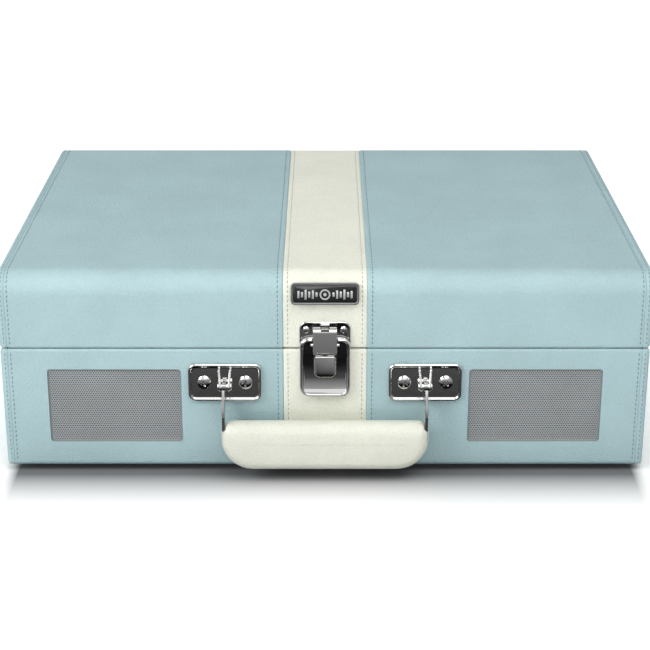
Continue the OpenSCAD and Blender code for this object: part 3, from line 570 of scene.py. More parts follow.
grille_low, grille_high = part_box("speaker_grilles")
grille_w = 73.6 * MM
fit = 0.05 * MM
for side, word in ((-1, "left"), (1, "right")):
    piece = panel("base_cover_" + word, blue_stations(), side, base_low.z, base_high.z, base_radii)
    outer = side * (grille_high.x + fit)
    inner = outer - side * grille_w
    corner_a = Vector((min(outer, inner), 0, grille_low.z - fit))
    corner_b = Vector((max(outer, inner), 0, grille_high.z + fit))
    hollow_base(piece, [(corner_a, corner_b)], sockets=side > 0)
    soften_cover(piece, 0.3 * MM)
    dress(piece, "base", "blue_leatherette", blue_leather, "base_leather_blue")
stripe = panel("base_cover_stripe", stripe_stations(), 1, base_low.z + 0.3 * MM, base_high.z, base_radii)
hollow_base(stripe)
soften_cover(stripe, 0.2 * MM)
dress(stripe, "base", "cream_leatherette", cream_leather, "base_leather_stripe")
print("base covering", made)

# %% [markdown]
# The lid's panels are hollowed by their own outline, drawn in by the covering's thickness, so the skin
# stays even round the big front radius.

# %% Lid covering
def hollow_lid(piece):
    over = 5 * MM
    z0 = lid_low.z
    outline = side_outline(z0, lid_high.z, lid_radii, skin)
    cut_away(piece, stack("c", [[(x, y, z) for y, z in outline] for x in (-side_x + skin, side_x - skin)]))
    cut_away(piece, block("c", (-inner_x, inner_front, z0 - over), (inner_x, inner_back, z0 + over)))


for side, word in ((-1, "left"), (1, "right")):
    piece = panel("lid_cover_" + word, blue_stations(), side, lid_low.z, lid_high.z, lid_radii)
    hollow_lid(piece)
    soften_cover(piece, 0.3 * MM)
    dress(piece, "lid", "blue_leatherette", blue_leather, "lid_leather_blue")
stripe = panel("lid_cover_stripe", stripe_stations(), 1, lid_low.z, lid_high.z, lid_radii)
hollow_lid(stripe)
soften_cover(stripe, 0.2 * MM)
dress(stripe, "lid", "cream_leatherette", cream_leather, "lid_leather_stripe")
print("lid covering", made[-3:])

# %% [markdown]
# ## Stitches
# A bump map can fake a row of stitches, but they vanish at the silhouette and in the exported mesh. Here
# each one is a small capsule of thread, half sunk in the sewn line, and turned a little from the line's
# direction because the thread crosses from hole to hole. They follow the side outline over the lid's
# round edge.

# %% One stitch and its path
stitch_length = 1.9 * MM
stitch_pitch = 2.7 * MM
thread_radius = 0.24 * MM


def capsule(middle, along, across, out):
    """Six-sided thread from end to end, with rounded ends that dive into the covering."""
    rings = []
    for share, width, drop in ((-0.5, 0.45, 0.9), (-0.36, 0.95, 0.25), (0.0, 1.0, 0.0), (0.36, 0.95, 0.25),
                               (0.5, 0.45, 0.9)):
        centre = middle + along * (share * stitch_length) - out * (drop * thread_radius)
        ring = []
        for k in range(6):
            a = k * pi / 3
            ring.append(centre + (across * cos(a) + out * sin(a) * 0.85) * (thread_radius * width))
        rings.append(ring)
    return rings


def walk(points, first=0.5):
    """Steps along a line of (y, z) points, one stitch apart: (y, z, direction y, direction z)."""
    steps = []
    ahead = first * stitch_pitch
    for (y0, z0), (y1, z1) in zip(points, points[1:]):
        length = sqrt((y1 - y0) ** 2 + (z1 - z0) ** 2)
        if length < 1e-9:
            continue
        dy = (y1 - y0) / length
        dz = (z1 - z0) / length
        while ahead <= length:
            steps.append((y0 + dy * ahead, z0 + dz * ahead, dy, dz))
            ahead += stitch_pitch
        ahead -= length
    return steps


def sew(name, lines, body, slot, material, slant=9):
    """Joins the stitches of several lines, each (x, side, points), into one piece."""
    points = []
    faces = []
    for x, side, path in lines:
        for y, z, dy, dz in walk(path):
            along = Vector((0, dy, dz))
            out = Vector((0, -dz, dy))
            along.rotate(Matrix.Rotation(radians(side * slant), 3, out))
            rings = capsule(Vector((x, y, z)) + out * (0.12 * thread_radius), along, along.cross(out), out)
            faces += ring_faces(rings, len(points))
            points += [p for ring in rings for p in ring]
    piece = new_piece(name, points, faces)
    shade_smooth(piece, 75)
    dress(piece, body, slot, material)
    print(name, len(points) // 30, "stitches")
    return piece


# %% [markdown]
# The stitch lines run up the front, over the lid and down the back. On the base there is one path up the
# front and one down the back. Lines stop short of the seam between base and lid, where the covering turns
# in.

# %% Sew the lines
def outside(points, low, high):
    return [(y, z) for y, z in points if low <= z <= high]


def upright(y, z_from, z_to):
    return [(y, z_from), (y, z_to)]


def lid_path(inset):
    z_start = lid_low.z + 2 * MM
    outline = side_outline(lid_low.z, lid_high.z, lid_radii, inset)
    upper = outside(outline, z_start, 1)
    return [(upper[0][0], z_start)] + upper + [(upper[-1][0], z_start)]


def base_paths(inset):
    low = base_low.z + 3.5 * MM
    high = base_high.z - 2 * MM
    return [upright(front_y + inset, low, high), upright(back_y - inset, high, low)]


def seam_lines(body, positions, inset):
    paths = [lid_path(inset)] if body == "lid" else base_paths(inset)
    return [(side * x, side, path) for x in positions for side in (-1, 1) for path in paths]


blue_positions = (side_x - edge_stitches[0], side_x - edge_stitches[1], stripe_x + blue_stitch)
cream_positions = (stripe_x - stripe_stitch,)
for body in ("base", "lid"):
    sew(body + "_blue_stitches", seam_lines(body, blue_positions, stitch_dip), body, "blue_leatherette",
        blue_thread)
    sew(body + "_cream_stitches", seam_lines(body, cream_positions, stitch_dip + 0.2 * MM), body,
        "cream_leatherette", cream_thread)

# %% [markdown]
# ## Fittings
# The rest of the object is hard parts. Three main helpers serve them: one makes turned parts such as
# rivets and knobs from a profile of radius and height, one makes pressed plates from a rounded outline
# that is inset level by level, and one takes a CAD part's own shape and rounds its edges.

# %% Turned parts
def turned(name, profile, place, segments=40):
    """Turns (radius, height) pairs round the local Z axis of the 4x4 matrix place."""
    rings = []
    for radius, high in profile:
        ring = []
        for k in range(segments):
            a = 2 * pi * k / segments
            ring.append(place @ Vector((radius * cos(a), radius * sin(a), high)))
        rings.append(ring)
    piece = stack(name, rings)
    shade_smooth(piece, 50)
    return piece


def facing(x, y, z, toward):
    """A place at x, y, z whose local Z axis points toward front, back, top or side."""
    turns = {"front": (90, "X"), "back": (-90, "X"), "top": (0, "X"), "side": (90, "Y"), "down": (180, "X")}
    angle, axis = turns[toward]
    return Matrix.Translation((x, y, z)) @ Matrix.Rotation(radians(angle), 4, axis)


def dome(radius, high, rim=0.12, steps=7):
    """A low dome on a short straight rim: what a pressed head looks like from the side."""
    profile = [(radius * 0.96, 0.0), (radius, high * rim)]
    for k in range(1, steps + 1):
        a = radians(90 * k / steps)
        profile.append((max(radius * cos(a), radius * 0.02), high * rim + high * (1 - rim) * sin(a)))
    return profile


def join(name, pieces):
    """Makes one piece of several by copying their meshes together."""
    work = bmesh.new()
    for piece in pieces:
        work.from_mesh(piece.data)
        bpy.data.objects.remove(piece)
    return piece_from(work, name)


# %% Pressed plates
def corner_outline(width, height, radii, steps=7):
    """Points (u, v) of a rectangle. The radii go from its top right corner to the left and round."""
    points = []
    for (su, sv, start), radius in zip(((1, 1, 0), (-1, 1, 90), (-1, -1, 180), (1, -1, 270)), radii):
        points += bend(su * (width / 2 - radius), sv * (height / 2 - radius), radius, start, start + 90,
                       steps)
    return points


def pressed(name, place, width, height, radii, levels, steps=7, loop=False):
    """Stacks the outline along the place's Z axis; levels are (inset, depth) pairs."""
    rings = []
    for inset, depth in levels:
        shrunk = [max(r - inset, 0.15 * MM) for r in radii]
        outline = corner_outline(width - 2 * inset, height - 2 * inset, shrunk, steps)
        rings.append([place @ Vector((u, v, depth)) for u, v in outline])
    piece = stack(name, rings, loop)
    shade_smooth(piece, 50)
    return piece


def levels_mm(*pairs):
    return [(inset * MM, depth * MM) for inset, depth in pairs]


# %% Rounded copies of CAD parts
record = frame["record"]
body_of = {node: body for body, members in record["behaviour"]["bodies"].items() for node in members}
slot_of = {part["node"]: part["material_slot"] for part in record["subparts"]}


same_point = 0.004 * MM


def cad_mesh(node, name):
    """The CAD part's mesh with its split corners joined and its flat faces made whole."""
    work = bmesh.new()
    work.from_mesh(nodes[node].data)
    bmesh.ops.remove_doubles(work, verts=work.verts, dist=same_point)
    bmesh.ops.dissolve_limit(work, angle_limit=radians(0.6), verts=work.verts, edges=work.edges)
    return piece_from(work, name)


def rounded(node, width, material, segments=2):
    piece = cad_mesh(node, node + "_part")
    if width:
        soften(piece, width * MM, segments, 34)
        settle(piece)
        shade_smooth(piece, 50)
    return dress(piece, body_of[node], slot_of[node], material, node)


def islands(node):
    """The boxes of a CAD part's separate lumps, each as (low corner, high corner)."""
    work = bmesh.new()
    work.from_mesh(nodes[node].data)
    bmesh.ops.remove_doubles(work, verts=work.verts, dist=same_point)
    left = set(work.verts)
    boxes = []
    while left:
        reach = [left.pop()]
        group = list(reach)
        while reach:
            for edge in reach.pop().link_edges:
                for vert in edge.verts:
                    if vert in left:
                        left.discard(vert)
                        reach.append(vert)
                        group.append(vert)
        spots = [v.co.copy() for v in group]
        low = Vector([min(p[i] for p in spots) for i in range(3)])
        high = Vector([max(p[i] for p in spots) for i in range(3)])
        boxes.append((low, high))
    work.free()
    boxes.sort(key=lambda b: (round(b[0].x, 4), round(b[0].z, 4)))
    return boxes


# %% [markdown]
# ## Loudspeaker grilles
# Each grille is sheet metal punched with round holes in a honeycomb pattern, 1.31 mm apart. A picture of
# holes would look flat from the side, so the holes are real: one six-sided cell holds one hole, cells
# share their corners, and the same pattern at two depths is joined by the holes' walls. A folded frame
# covers the pattern's uneven edge. It is painted darker than the sheet, as painted shade round the recess.

# %% Perforated sheet
hole_pitch = 1.31 * MM
hole_radius = 0.45 * MM
sheet_t = 0.5 * MM


def perforated(name, x0, x1, z0, z1, y_front):
    corners = {}
    points = []
    faces = []

    def corner(x, z, depth):
        key = (round(x * 1e6), round(z * 1e6), depth)
        if key not in corners:
            corners[key] = len(points)
            points.append((x, y_front + depth * sheet_t, z))
        return corners[key]

    row_gap = hole_pitch * sqrt(3) / 2
    rows = int((z1 - z0) / row_gap)
    columns = int((x1 - x0) / hole_pitch)
    start_x = (x0 + x1) / 2 - (columns - 0.5) * hole_pitch / 2
    start_z = (z0 + z1) / 2 - (rows - 1) * row_gap / 2
    side = hole_pitch / sqrt(3)
    sides_used = {}
    for row in range(rows):
        for column in range(columns):
            cx = start_x + (column + 0.5 * (row % 2)) * hole_pitch
            cz = start_z + row * row_gap
            rim = {}
            hole = {}
            for depth in (0, 1):
                rim[depth] = [corner(cx + side * sin(k * pi / 3), cz + side * cos(k * pi / 3), depth)
                              for k in range(6)]
                first = len(points)
                for k in range(12):
                    a = k * pi / 6
                    points.append((cx + hole_radius * sin(a), y_front + depth * sheet_t,
                                   cz + hole_radius * cos(a)))
                hole[depth] = [first + k for k in range(12)]
            for k in range(6):
                n = (k + 1) % 6
                for depth in (0, 1):
                    a, b = rim[depth][k], rim[depth][n]
                    h = hole[depth]
                    face = (a, h[2 * k], h[2 * k + 1], h[(2 * k + 2) % 12], b)
                    faces.append(face if depth else face[::-1])
                key = frozenset((rim[0][k], rim[0][n]))
                if key in sides_used:
                    sides_used[key] = None
                else:
                    sides_used[key] = (rim[0][k], rim[0][n], rim[1][n], rim[1][k])
            for k in range(12):
                n = (k + 1) % 12
                faces.append((hole[0][k], hole[0][n], hole[1][n], hole[1][k]))
    faces += [face for face in sides_used.values() if face]
    return new_piece(name, points, faces), rows * columns


grille_h = grille_high.z - grille_low.z
grille_z = (grille_high.z + grille_low.z) / 2
grille_x = grille_high.x - grille_w / 2
grille_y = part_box("speaker_grilles")[0].y
for side, word in ((-1, "left"), (1, "right")):
    middle = side * grille_x
    margin = 0.75 * MM
    half_w = grille_w / 2 - margin
    half_h = grille_h / 2 - margin
    sheet, holes = perforated("grille_sheet_" + word, middle - half_w, middle + half_w,
                              grille_z - half_h, grille_z + half_h, grille_y + 0.08 * MM)
    dress(sheet, "base", "silver_grille", grille_paint, "speaker_grilles")
    place = facing(middle, grille_y, grille_z, "front")
    # The frame takes the darker copy of the paint, as painted shade round the recess.
    border = pressed("grille_frame_" + word, place, grille_w, grille_h, [2 * MM] * 4,
                     levels_mm((0.0, -0.65), (0.0, -0.12), (0.12, 0.0), (1.0, 0.0), (1.1, -0.08),
                               (1.1, -0.65)),
                     loop=True)
    dress(border, "base", "silver_grille", shaded_grille_paint)
    print("grille", word, holes, "holes")

# %% [markdown]
# ## Handle brackets
# Each bracket is a chromed pressing: a flat panel inside a rounded, raised rim. Two ears stand out of the
# panel and hold the rivet that the handle's strap hangs on. Two pan head screws fix it.

# %% Brackets
bracket_boxes = islands("handle_brackets")
pin_boxes = islands("bracket_pins")
for box_low, box_high in bracket_boxes:
    word = "left" if box_low.x < 0 else "right"
    middle = (box_low + box_high) / 2
    width = box_high.x - box_low.x
    height = box_high.z - box_low.z
    place = facing(middle.x, front_y, middle.z, "front")
    plate = pressed("bracket_plate_" + word, place, width, height, [4.5 * MM] * 4,
                    levels_mm((0, 0), (0, 1.1), (0.18, 1.75), (0.55, 2.2), (1.0, 2.38), (1.4, 2.3),
                              (1.75, 2.05), (2.0, 1.75), (2.3, 1.62), (2.8, 1.6)), 9)
    pin = [b for b in pin_boxes if b[0].x * middle.x > 0][0]
    pin_x = (pin[0].x + pin[1].x) / 2
    pin_y = (pin[0].y + pin[1].y) / 2
    pin_z = (pin[0].z + pin[1].z) / 2
    ears = []
    for side in (-1, 1):
        profile = [(front_y - 1.3 * MM, pin_z + 9.2 * MM), (front_y - 1.3 * MM, pin_z - 2.8 * MM),
                   (pin_y + 1.0 * MM, pin_z - 2.9 * MM)]
        profile += bend(pin_y, pin_z, 2.6 * MM, 250, 150, 8)
        profile += [(front_y - 4.2 * MM, pin_z + 7.8 * MM), (front_y - 3.4 * MM, pin_z + 9.2 * MM)]
        rings = []
        for thick in (-0.6 * MM, 0.6 * MM):
            ring = []
            for y, z in profile:
                lean = 0.1 * max(z - pin_z, 0)
                ring.append((pin_x + side * (2.2 * MM + lean) + thick, y, z))
            rings.append(ring)
        ears.append(stack("ear", rings))
    plate = join("bracket_" + word, [plate, *ears])
    soften(plate, 0.22 * MM, 3, 50)
    dress(plate, "base", "chrome_steel", chrome, "handle_brackets")
    rivet = turned("rivet_" + word, [(0.9 * MM, -4.0 * MM), (1.7 * MM, -3.9 * MM), (2.0 * MM, -3.5 * MM),
                                     (2.0 * MM, -3.1 * MM), (1.6 * MM, -2.9 * MM), (1.5 * MM, -2.85 * MM),
                                     (1.5 * MM, 2.85 * MM), (1.6 * MM, 2.9 * MM), (2.0 * MM, 3.1 * MM),
                                     (2.0 * MM, 3.5 * MM), (1.7 * MM, 3.9 * MM), (0.9 * MM, 4.0 * MM)],
                   facing(pin_x, pin_y, pin_z, "side"), 32)
    dress(rivet, "base", "chrome_steel", chrome, "bracket_pins")
print("brackets at", [round(b[0].x / MM, 1) for b in bracket_boxes])

# %% [markdown]
# ## Screws
# A pan head is a low dome with a cross recess. The recess is what tells the eye that it is a screw, so it
# is cut for real: two tapered bars are taken out of one head, and that head's mesh is copied to every
# place where the CAD has a screw.

# %% One head, many places
def screw_head(radius, high):
    head = turned("head", [(radius * 0.9, -0.5 * MM), *dome(radius, high, 0.3, 8)], Matrix.Identity(4), 32)
    for turn in (0, 90):
        bar_rings = []
        for half, wide, z in ((0.30, 0.07, high * 0.25), (0.58, 0.13, high + 0.1 * MM)):
            corners = ((half, wide), (-half, wide), (-half, -wide), (half, -wide))
            spin = Matrix.Rotation(radians(turn), 4, "Z")
            bar_rings.append([spin @ Vector((u * radius, v * radius, z)) for u, v in corners])
        cut_away(head, stack("bar", bar_rings))
    return head


def copies(name, template, places):
    work = bmesh.new()
    for place in places:
        mesh = template.data.copy()
        mesh.transform(place)
        work.from_mesh(mesh)
        bpy.data.meshes.remove(mesh)
    bpy.data.objects.remove(template)
    piece = piece_from(work, name)
    shade_smooth(piece, 28)
    return piece


def screws(name, boxes, toward, radius, high, lift, body, slot, material, *replaced):
    """Puts a head at the outer end of each screw's box, turned by a different angle on each."""
    places = []
    for index, (low, high_corner) in enumerate(boxes):
        middle = (low + high_corner) / 2
        spot = Vector(middle)
        if toward == "front":
            spot.y = low.y + lift
        elif toward == "back":
            spot.y = high_corner.y - lift
        elif toward == "top":
            spot.z = high_corner.z - lift
        else:
            spot.z = low.z + lift
        turn = Matrix.Rotation(radians(23 + 67 * index), 4, "Z")
        places.append(facing(spot.x, spot.y, spot.z, toward) @ turn)
    piece = copies(name, screw_head(radius, high), places)
    dress(piece, body, slot, material, *replaced)
    print(name, len(places))


case_boxes = islands("case_screws")
front_boxes = [b for b in case_boxes if b[0].y < front_y]
rear_boxes = [b for b in case_boxes if b[0].y > 0]
screws("bracket_screws", front_boxes, "front", 3.8 * MM, 1.9 * MM, 2.0 * MM,
       "base", "chrome_steel", chrome, "case_screws")
screws("hinge_screws", rear_boxes, "back", 2.7 * MM, 1.4 * MM, 1.5 * MM, "base", "chrome_steel", nickel)
lid_boxes = islands("lid_screws")
screws("catch_screws", [b for b in lid_boxes if b[0].y < 0], "front", 1.75 * MM, 0.9 * MM, 1.0 * MM,
       "lid", "chrome_steel", chrome, "lid_screws")
screws("lid_hinge_screws", [b for b in lid_boxes if b[0].y > 0], "back", 2.7 * MM, 1.4 * MM, 1.5 * MM,
       "lid", "chrome_steel", nickel)
screws("foot_screw_heads", islands("foot_screws"), "down", 2.6 * MM, 1.3 * MM, 1.4 * MM,
       "base", "zinc_screws", zinc, "foot_screws")
screws("deck_screw_heads", islands("deck_screws"), "top", 2.6 * MM, 1.5 * MM, 1.6 * MM,
       "base", "zinc_screws", zinc, "deck_screws")

# %% [markdown]
# ## Latch
# The latch has four pressed parts. The base plate is a tray with a raised rim and a second, inner rim
# round the lever. The lever is a shallow cap, hollow behind. The claw is one bent strip, whose top curls
# over to the catch in two shoulders, with the catch's own hook standing in the gap between them.

# %% Bent strip
def bent_strip(name, line, x0, x1, thick, edge=0.3 * MM, corner=0.0):
    """A strip along the (y, z) line, with its thickness behind it, round edges and round first corners."""
    reach = max(edge, corner)
    stations = []
    for share in (0.0, 0.04, 0.12, 0.25, 0.5, 0.75, 1.0):
        away = share * reach
        near = max(1 - away / edge, 0)
        inset = edge * (1 - sqrt(1 - near * near))
        near = max(1 - away / corner, 0) if corner else 0
        stations.append((away, inset, corner * (1 - sqrt(1 - near * near))))
    rings = []
    places = [(x0 + away, inset, cut) for away, inset, cut in stations]
    places += [(x1 - away, inset, cut) for away, inset, cut in reversed(stations)]
    for x, inset, cut in places:
        front = []
        behind = []
        for k, spot in enumerate(line):
            before = Vector(line[max(k - 1, 0)])
            after = Vector(line[min(k + 1, len(line) - 1)])
            along = (after - before).normalized()
            normal = Vector((along.y, -along.x))
            spot = Vector(spot) + (along * cut if k == 0 else Vector((0, 0)))
            front.append((x, *(spot + normal * inset)))
            behind.append((x, *(spot + normal * (thick - inset))))
        rings.append(front + behind[::-1])
    return stack(name, rings)


# %% Base plate and catch plate
base_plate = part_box("latch_base_plate")
catch_low, catch_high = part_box("latch_catch_plate")
latch_w = base_plate[1].x - base_plate[0].x
tray_low = base_plate[0].z
tray_high = base_plate[1].z
tray_h = tray_high - tray_low
place = facing(0, front_y, (tray_low + tray_high) / 2, "front")
tray = pressed("latch_tray", place, latch_w, tray_h, [5.2 * MM, 5.2 * MM, 5.6 * MM, 5.6 * MM],
               levels_mm((0, 0.05), (0, 2.3), (0.15, 3.0), (0.5, 3.5), (0.95, 3.78), (1.4, 3.7),
                         (1.8, 3.35), (2.1, 2.8), (2.35, 1.9), (2.9, 1.3), (3.6, 1.15)), 9)
inner_low = tray_low + 5.6 * MM
inner_high = tray_high - 0.3 * MM
inner_place = facing(0, front_y, (inner_low + inner_high) / 2, "front")
inner = pressed("latch_inner_rim", inner_place, 17.0 * MM, inner_high - inner_low,
                [2.6 * MM, 2.6 * MM, 3.2 * MM, 3.2 * MM],
                levels_mm((-0.5, 1.0), (-0.15, 1.6), (0, 2.6), (0.12, 3.3), (0.4, 3.6), (0.7, 3.55),
                          (0.95, 3.2), (1.05, 2.4), (1.2, 0.85), (1.6, 0.6)), 8)
notch_x = 7.3 * MM
seam_z = (base_high.z + lid_low.z) / 2
for part in (tray, inner):
    cut_away(part, block("notch", (-notch_x, front_y - 8 * MM, tray_high - 6 * MM),
                         (notch_x, front_y - 2.8 * MM, tray_high + 2 * MM)))
    cut_away(part, block("lap", (-20 * MM, front_y - 1.5 * MM, seam_z - 0.15 * MM),
                         (20 * MM, front_y + 4 * MM, tray_high + 2 * MM)))
dish = [(3.5, 48.2), (3.1, 49.6), (2.55, 51.2), (2.1, 52.8), (1.75, 54.4), (1.55, 56.0), (1.5, 57.6),
        (1.75, 66.0), (2.3, 79.6)]
floor_sheet = bent_strip("dished_floor", [(front_y - depth * MM, z * MM) for depth, z in dish], -13 * MM,
                         13 * MM, 0.9 * MM)
keep = pressed("keep", place, latch_w, tray_h, [5.2 * MM, 5.2 * MM, 5.6 * MM, 5.6 * MM],
               levels_mm((1.5, 0.2), (1.5, 6.0)), 9)
tool = floor_sheet.modifiers.new("keep", "BOOLEAN")
tool.operation = "INTERSECT"
tool.solver = "EXACT"
tool.object = keep
settle(floor_sheet)
bpy.data.objects.remove(keep)
lever_pin_y = -123.7 * MM
lever_pin_z = 77 * MM
lever_pin = turned("pin", [(0.6 * MM, -7.9 * MM), (0.8 * MM, -7.8 * MM), (0.8 * MM, 7.8 * MM),
                           (0.6 * MM, 7.9 * MM)],
                   facing(0, lever_pin_y, lever_pin_z, "side"), 20)
base_latch = join("latch_base", [tray, inner, lever_pin, floor_sheet])
shade_smooth(base_latch, 40)
dress(base_latch, "base", "chrome_steel", chrome, "latch_base_plate")

catch_z = (catch_low.z + catch_high.z) / 2
catch = pressed("catch_plate", facing(0, front_y, catch_z, "front"), latch_w, catch_high.z - catch_low.z,
                [4.4 * MM, 4.4 * MM, 0.6 * MM, 0.6 * MM],
                levels_mm((0, 0.02), (0, 0.5), (0.15, 0.85), (0.45, 1.0), (0.9, 1.02), (1.3, 0.86),
                          (1.8, 0.8)), 8)
hook_profile = [(-0.5, -8.4), (-6.2, -6.4), (-6.2, -3.9), (-5.2, -3.9), (-5.2, -5.4), (-0.5, -5.4)]
hook_x = 2.1 * MM
hook_rings = [[(x, front_y + y * MM, catch_high.z + z * MM) for y, z in hook_profile]
              for x in (-hook_x, hook_x)]
hook = stack("hook", hook_rings)
soften(hook, 0.3 * MM, 3)
settle(hook)
catch = join("latch_catch", [catch, hook])
shade_smooth(catch, 50)
dress(catch, "lid", "chrome_steel", chrome, "latch_catch_plate")

# %% Claw
claw_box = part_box("latch_claw")
face_y = claw_box[0].y
claw_low = claw_box[0].z
claw_top = claw_box[1].z
metal_t = 1.0 * MM
claw_pin_y = -129.1 * MM
claw_pin_z = 74.5 * MM
bend_r = 2.7 * MM
lean = 0.9 * MM
curl = bend(face_y + lean + bend_r, claw_top - bend_r, bend_r, 175, 90, 9)
lip_r = 1.3 * MM
lip_y = front_y - 3.0 * MM
lip_low = 85.85 * MM
lip = bend(lip_y - lip_r, claw_top - lip_r, lip_r, 90, 0, 5)
lip.append((lip_y, lip_low))
flat_claw = [(face_y, claw_low + 0.2 * MM), (face_y + 0.15 * MM, claw_low + 2.2 * MM)]
claw = bent_strip("claw", flat_claw + curl + lip, -6.5 * MM, 6.5 * MM, metal_t, 0.38 * MM, 1.1 * MM)
cut_away(claw, block("gap", (-2.5 * MM, face_y - 3 * MM, claw_top - bend_r * 0.62),
                     (2.5 * MM, front_y + 1 * MM, claw_top + 2 * MM)))
knuckle = turned("knuckle", [(0.8 * MM, -4.8 * MM), (1.0 * MM, -4.6 * MM), (1.0 * MM, 4.6 * MM),
                             (0.8 * MM, 4.8 * MM)],
                 facing(0, claw_pin_y, claw_pin_z, "side"), 24)
neck = block("neck", (-4.7 * MM, face_y + 0.45 * MM, 74.6 * MM), (4.7 * MM, face_y + 1.2 * MM, 77.0 * MM))
claw = join("latch_claw_part", [claw, knuckle, neck])
shade_smooth(claw, 50)
dress(claw, "latch_claw", "chrome_steel", chrome, "latch_claw")

# %% Lever
lever_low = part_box("latch_lever")[0].z
lever_high = 72.9 * MM
place = facing(0, face_y, (lever_low + lever_high) / 2, "front")
lever = pressed("lever_cap", place, 12.4 * MM, lever_high - lever_low,
                [0.9 * MM, 0.9 * MM, 3.4 * MM, 3.4 * MM],
                levels_mm((1.1, -1.0), (0.95, -3.1), (0.75, -3.3), (0.3, -3.3), (0.1, -3.1), (0.05, -1.3),
                          (0.25, -0.6), (0.7, -0.12), (1.1, 0.0)), 8)
for vert in lever.data.vertices:
    vert.co.y += (vert.co.z - lever_low) * 0.085
arms = []
for side in (-1, 1):
    profile = [(-122.7, 77.6), (-124.4, 77.9), (-128.5, 75.2), (-129.7, 74.6), (-129.4, 72.0),
               (-127.2, 71.2), (-126.6, 66.0), (-122.7, 74.0)]
    rings = [[(side * 5.6 * MM + t, y * MM, z * MM) for y, z in profile] for t in (-0.4 * MM, 0.4 * MM)]
    arm = stack("arm", rings)
    soften(arm, 0.15 * MM, 2)
    settle(arm)
    arms.append(arm)
claw_pin = turned("pin", [(0.5 * MM, -5.9 * MM), (0.6 * MM, -5.8 * MM), (0.6 * MM, 5.8 * MM),
                          (0.5 * MM, 5.9 * MM)],
                  facing(0, claw_pin_y, claw_pin_z, "side"), 20)
lever = join("latch_lever_part", [lever, *arms, claw_pin])
shade_smooth(lever, 34)
dress(lever, "latch_lever", "chrome_steel", chrome, "latch_lever")
print("latch claw top", round(claw_top / MM, 1), "lever", round(lever_low / MM, 1), "to",
      round(lever_high / MM, 1))

# %% [markdown]
# ## Badge
# The badge is a black panel in a bevelled grey frame, thicker along its top edge. It carries a plain
# motif of a disc between bars, raised by a fifth of a millimetre.

# %% Badge
badge_z = 106.1 * MM
lean_back = 78
tilt = Matrix.Rotation(radians(lean_back), 4, "X")
badge_place = Matrix.Translation((0, front_y + 0.45 * MM, badge_z)) @ tilt
badge_body = pressed("badge_frame", badge_place, 37 * MM, 12 * MM, [2.2 * MM] * 4,
                     levels_mm((0, 0.7), (0, 2.0), (0.2, 2.45), (0.5, 2.6), (0.8, 2.55), (1.3, 2.1),
                               (1.45, 1.7)), 7)
dress(badge_body, "lid", "badge_black", grey_frame, "badge")
panel_place = badge_place @ Matrix.Translation((0, -0.35 * MM, 0))
badge_panel = pressed("badge_panel", panel_place, 34.3 * MM, 8.9 * MM, [1.2 * MM] * 4,
                      levels_mm((0, 1.2), (0, 2.0), (0.1, 2.1)), 6)
dress(badge_panel, "lid", "badge_black", gloss_black)
marks = []
for radius_out, radius_in in ((2.9, 2.1), (0.9, 0.02)):
    rings = []
    for radius, high in ((radius_out, 2.0), (radius_out, 2.3), (radius_in, 2.3), (radius_in, 2.0)):
        ring = []
        for k in range(32):
            a = 2 * pi * k / 32
            ring.append(panel_place @ Vector((radius * cos(a) * MM, radius * sin(a) * MM, high * MM)))
        rings.append(ring)
    marks.append(stack("mark", rings, loop=True))
for side in (-1, 1):
    for k, tall in enumerate((2.4, 4.6, 3.4, 5.4, 2.8, 4.0)):
        bar_place = panel_place @ Matrix.Translation((side * (4.6 + 1.95 * k) * MM, 0, 0))
        marks.append(pressed("mark", bar_place, 1.15 * MM, tall * MM, [0.3 * MM] * 4,
                             levels_mm((0, 2.0), (0, 2.25), (0.08, 2.32)), 3))
motif = join("badge_motif", marks)
dress(motif, "lid", "badge_black", silver_print)

# %% [markdown]
# ## Handle
# The grip is a padded sleeve of the pale leatherette over a steel strap. It is an outline stacked from
# back to front with a round edge, and its faces swell a little, because padding pushes the cover out most
# in the middle. Small uneven swellings, from a noise, keep it from looking moulded. The sleeve is sewn
# behind.

# %% Padded grip
grip_low, grip_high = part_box("handle_grip")
grip_w = grip_high.x - grip_low.x
grip_h = grip_high.z - grip_low.z
grip_t = grip_high.y - grip_low.y
grip_mid = Vector((0, (grip_low.y + grip_high.y) / 2, (grip_low.z + grip_high.z) / 2))
grip_radii = [6.0 * MM, 6.0 * MM, 17.5 * MM, 17.5 * MM]


def grip_rings():
    edge = 6.6 * MM
    half = grip_t / 2 - 0.35 * MM
    rows = []
    for inset, swell in ((13.4, 0.35), (12.0, 0.33), (10.4, 0.27), (9.0, 0.18), (7.8, 0.08)):
        rows.append((inset * MM, -half - swell * MM))
    for k in range(9):
        a = radians(90 * k / 8)
        rows.append((edge * (1 - sin(a)), -half + edge * (1 - cos(a))))
    rows += [(inset, -depth) for inset, depth in reversed(rows)]
    return rows


rings = []
for inset, depth in grip_rings():
    radii = [max(r - inset, 0.6 * MM) for r in grip_radii]
    outline = corner_outline(grip_w - 2 * inset, grip_h - 2 * inset, radii, 12)
    dense = []
    for k, (u, v) in enumerate(outline):
        nu, nv = outline[(k + 1) % len(outline)]
        parts = max(1, round(sqrt((nu - u) ** 2 + (nv - v) ** 2) / (4 * MM)))
        for p in range(parts if inset <= 13.4 * MM else 1):
            dense.append((u + (nu - u) * p / parts, v + (nv - v) * p / parts))
    rings.append([(u, v, depth) for u, v in dense])
fewest = min(len(r) for r in rings)
most = max(len(r) for r in rings)
print("grip rings have", fewest, "to", most, "points")


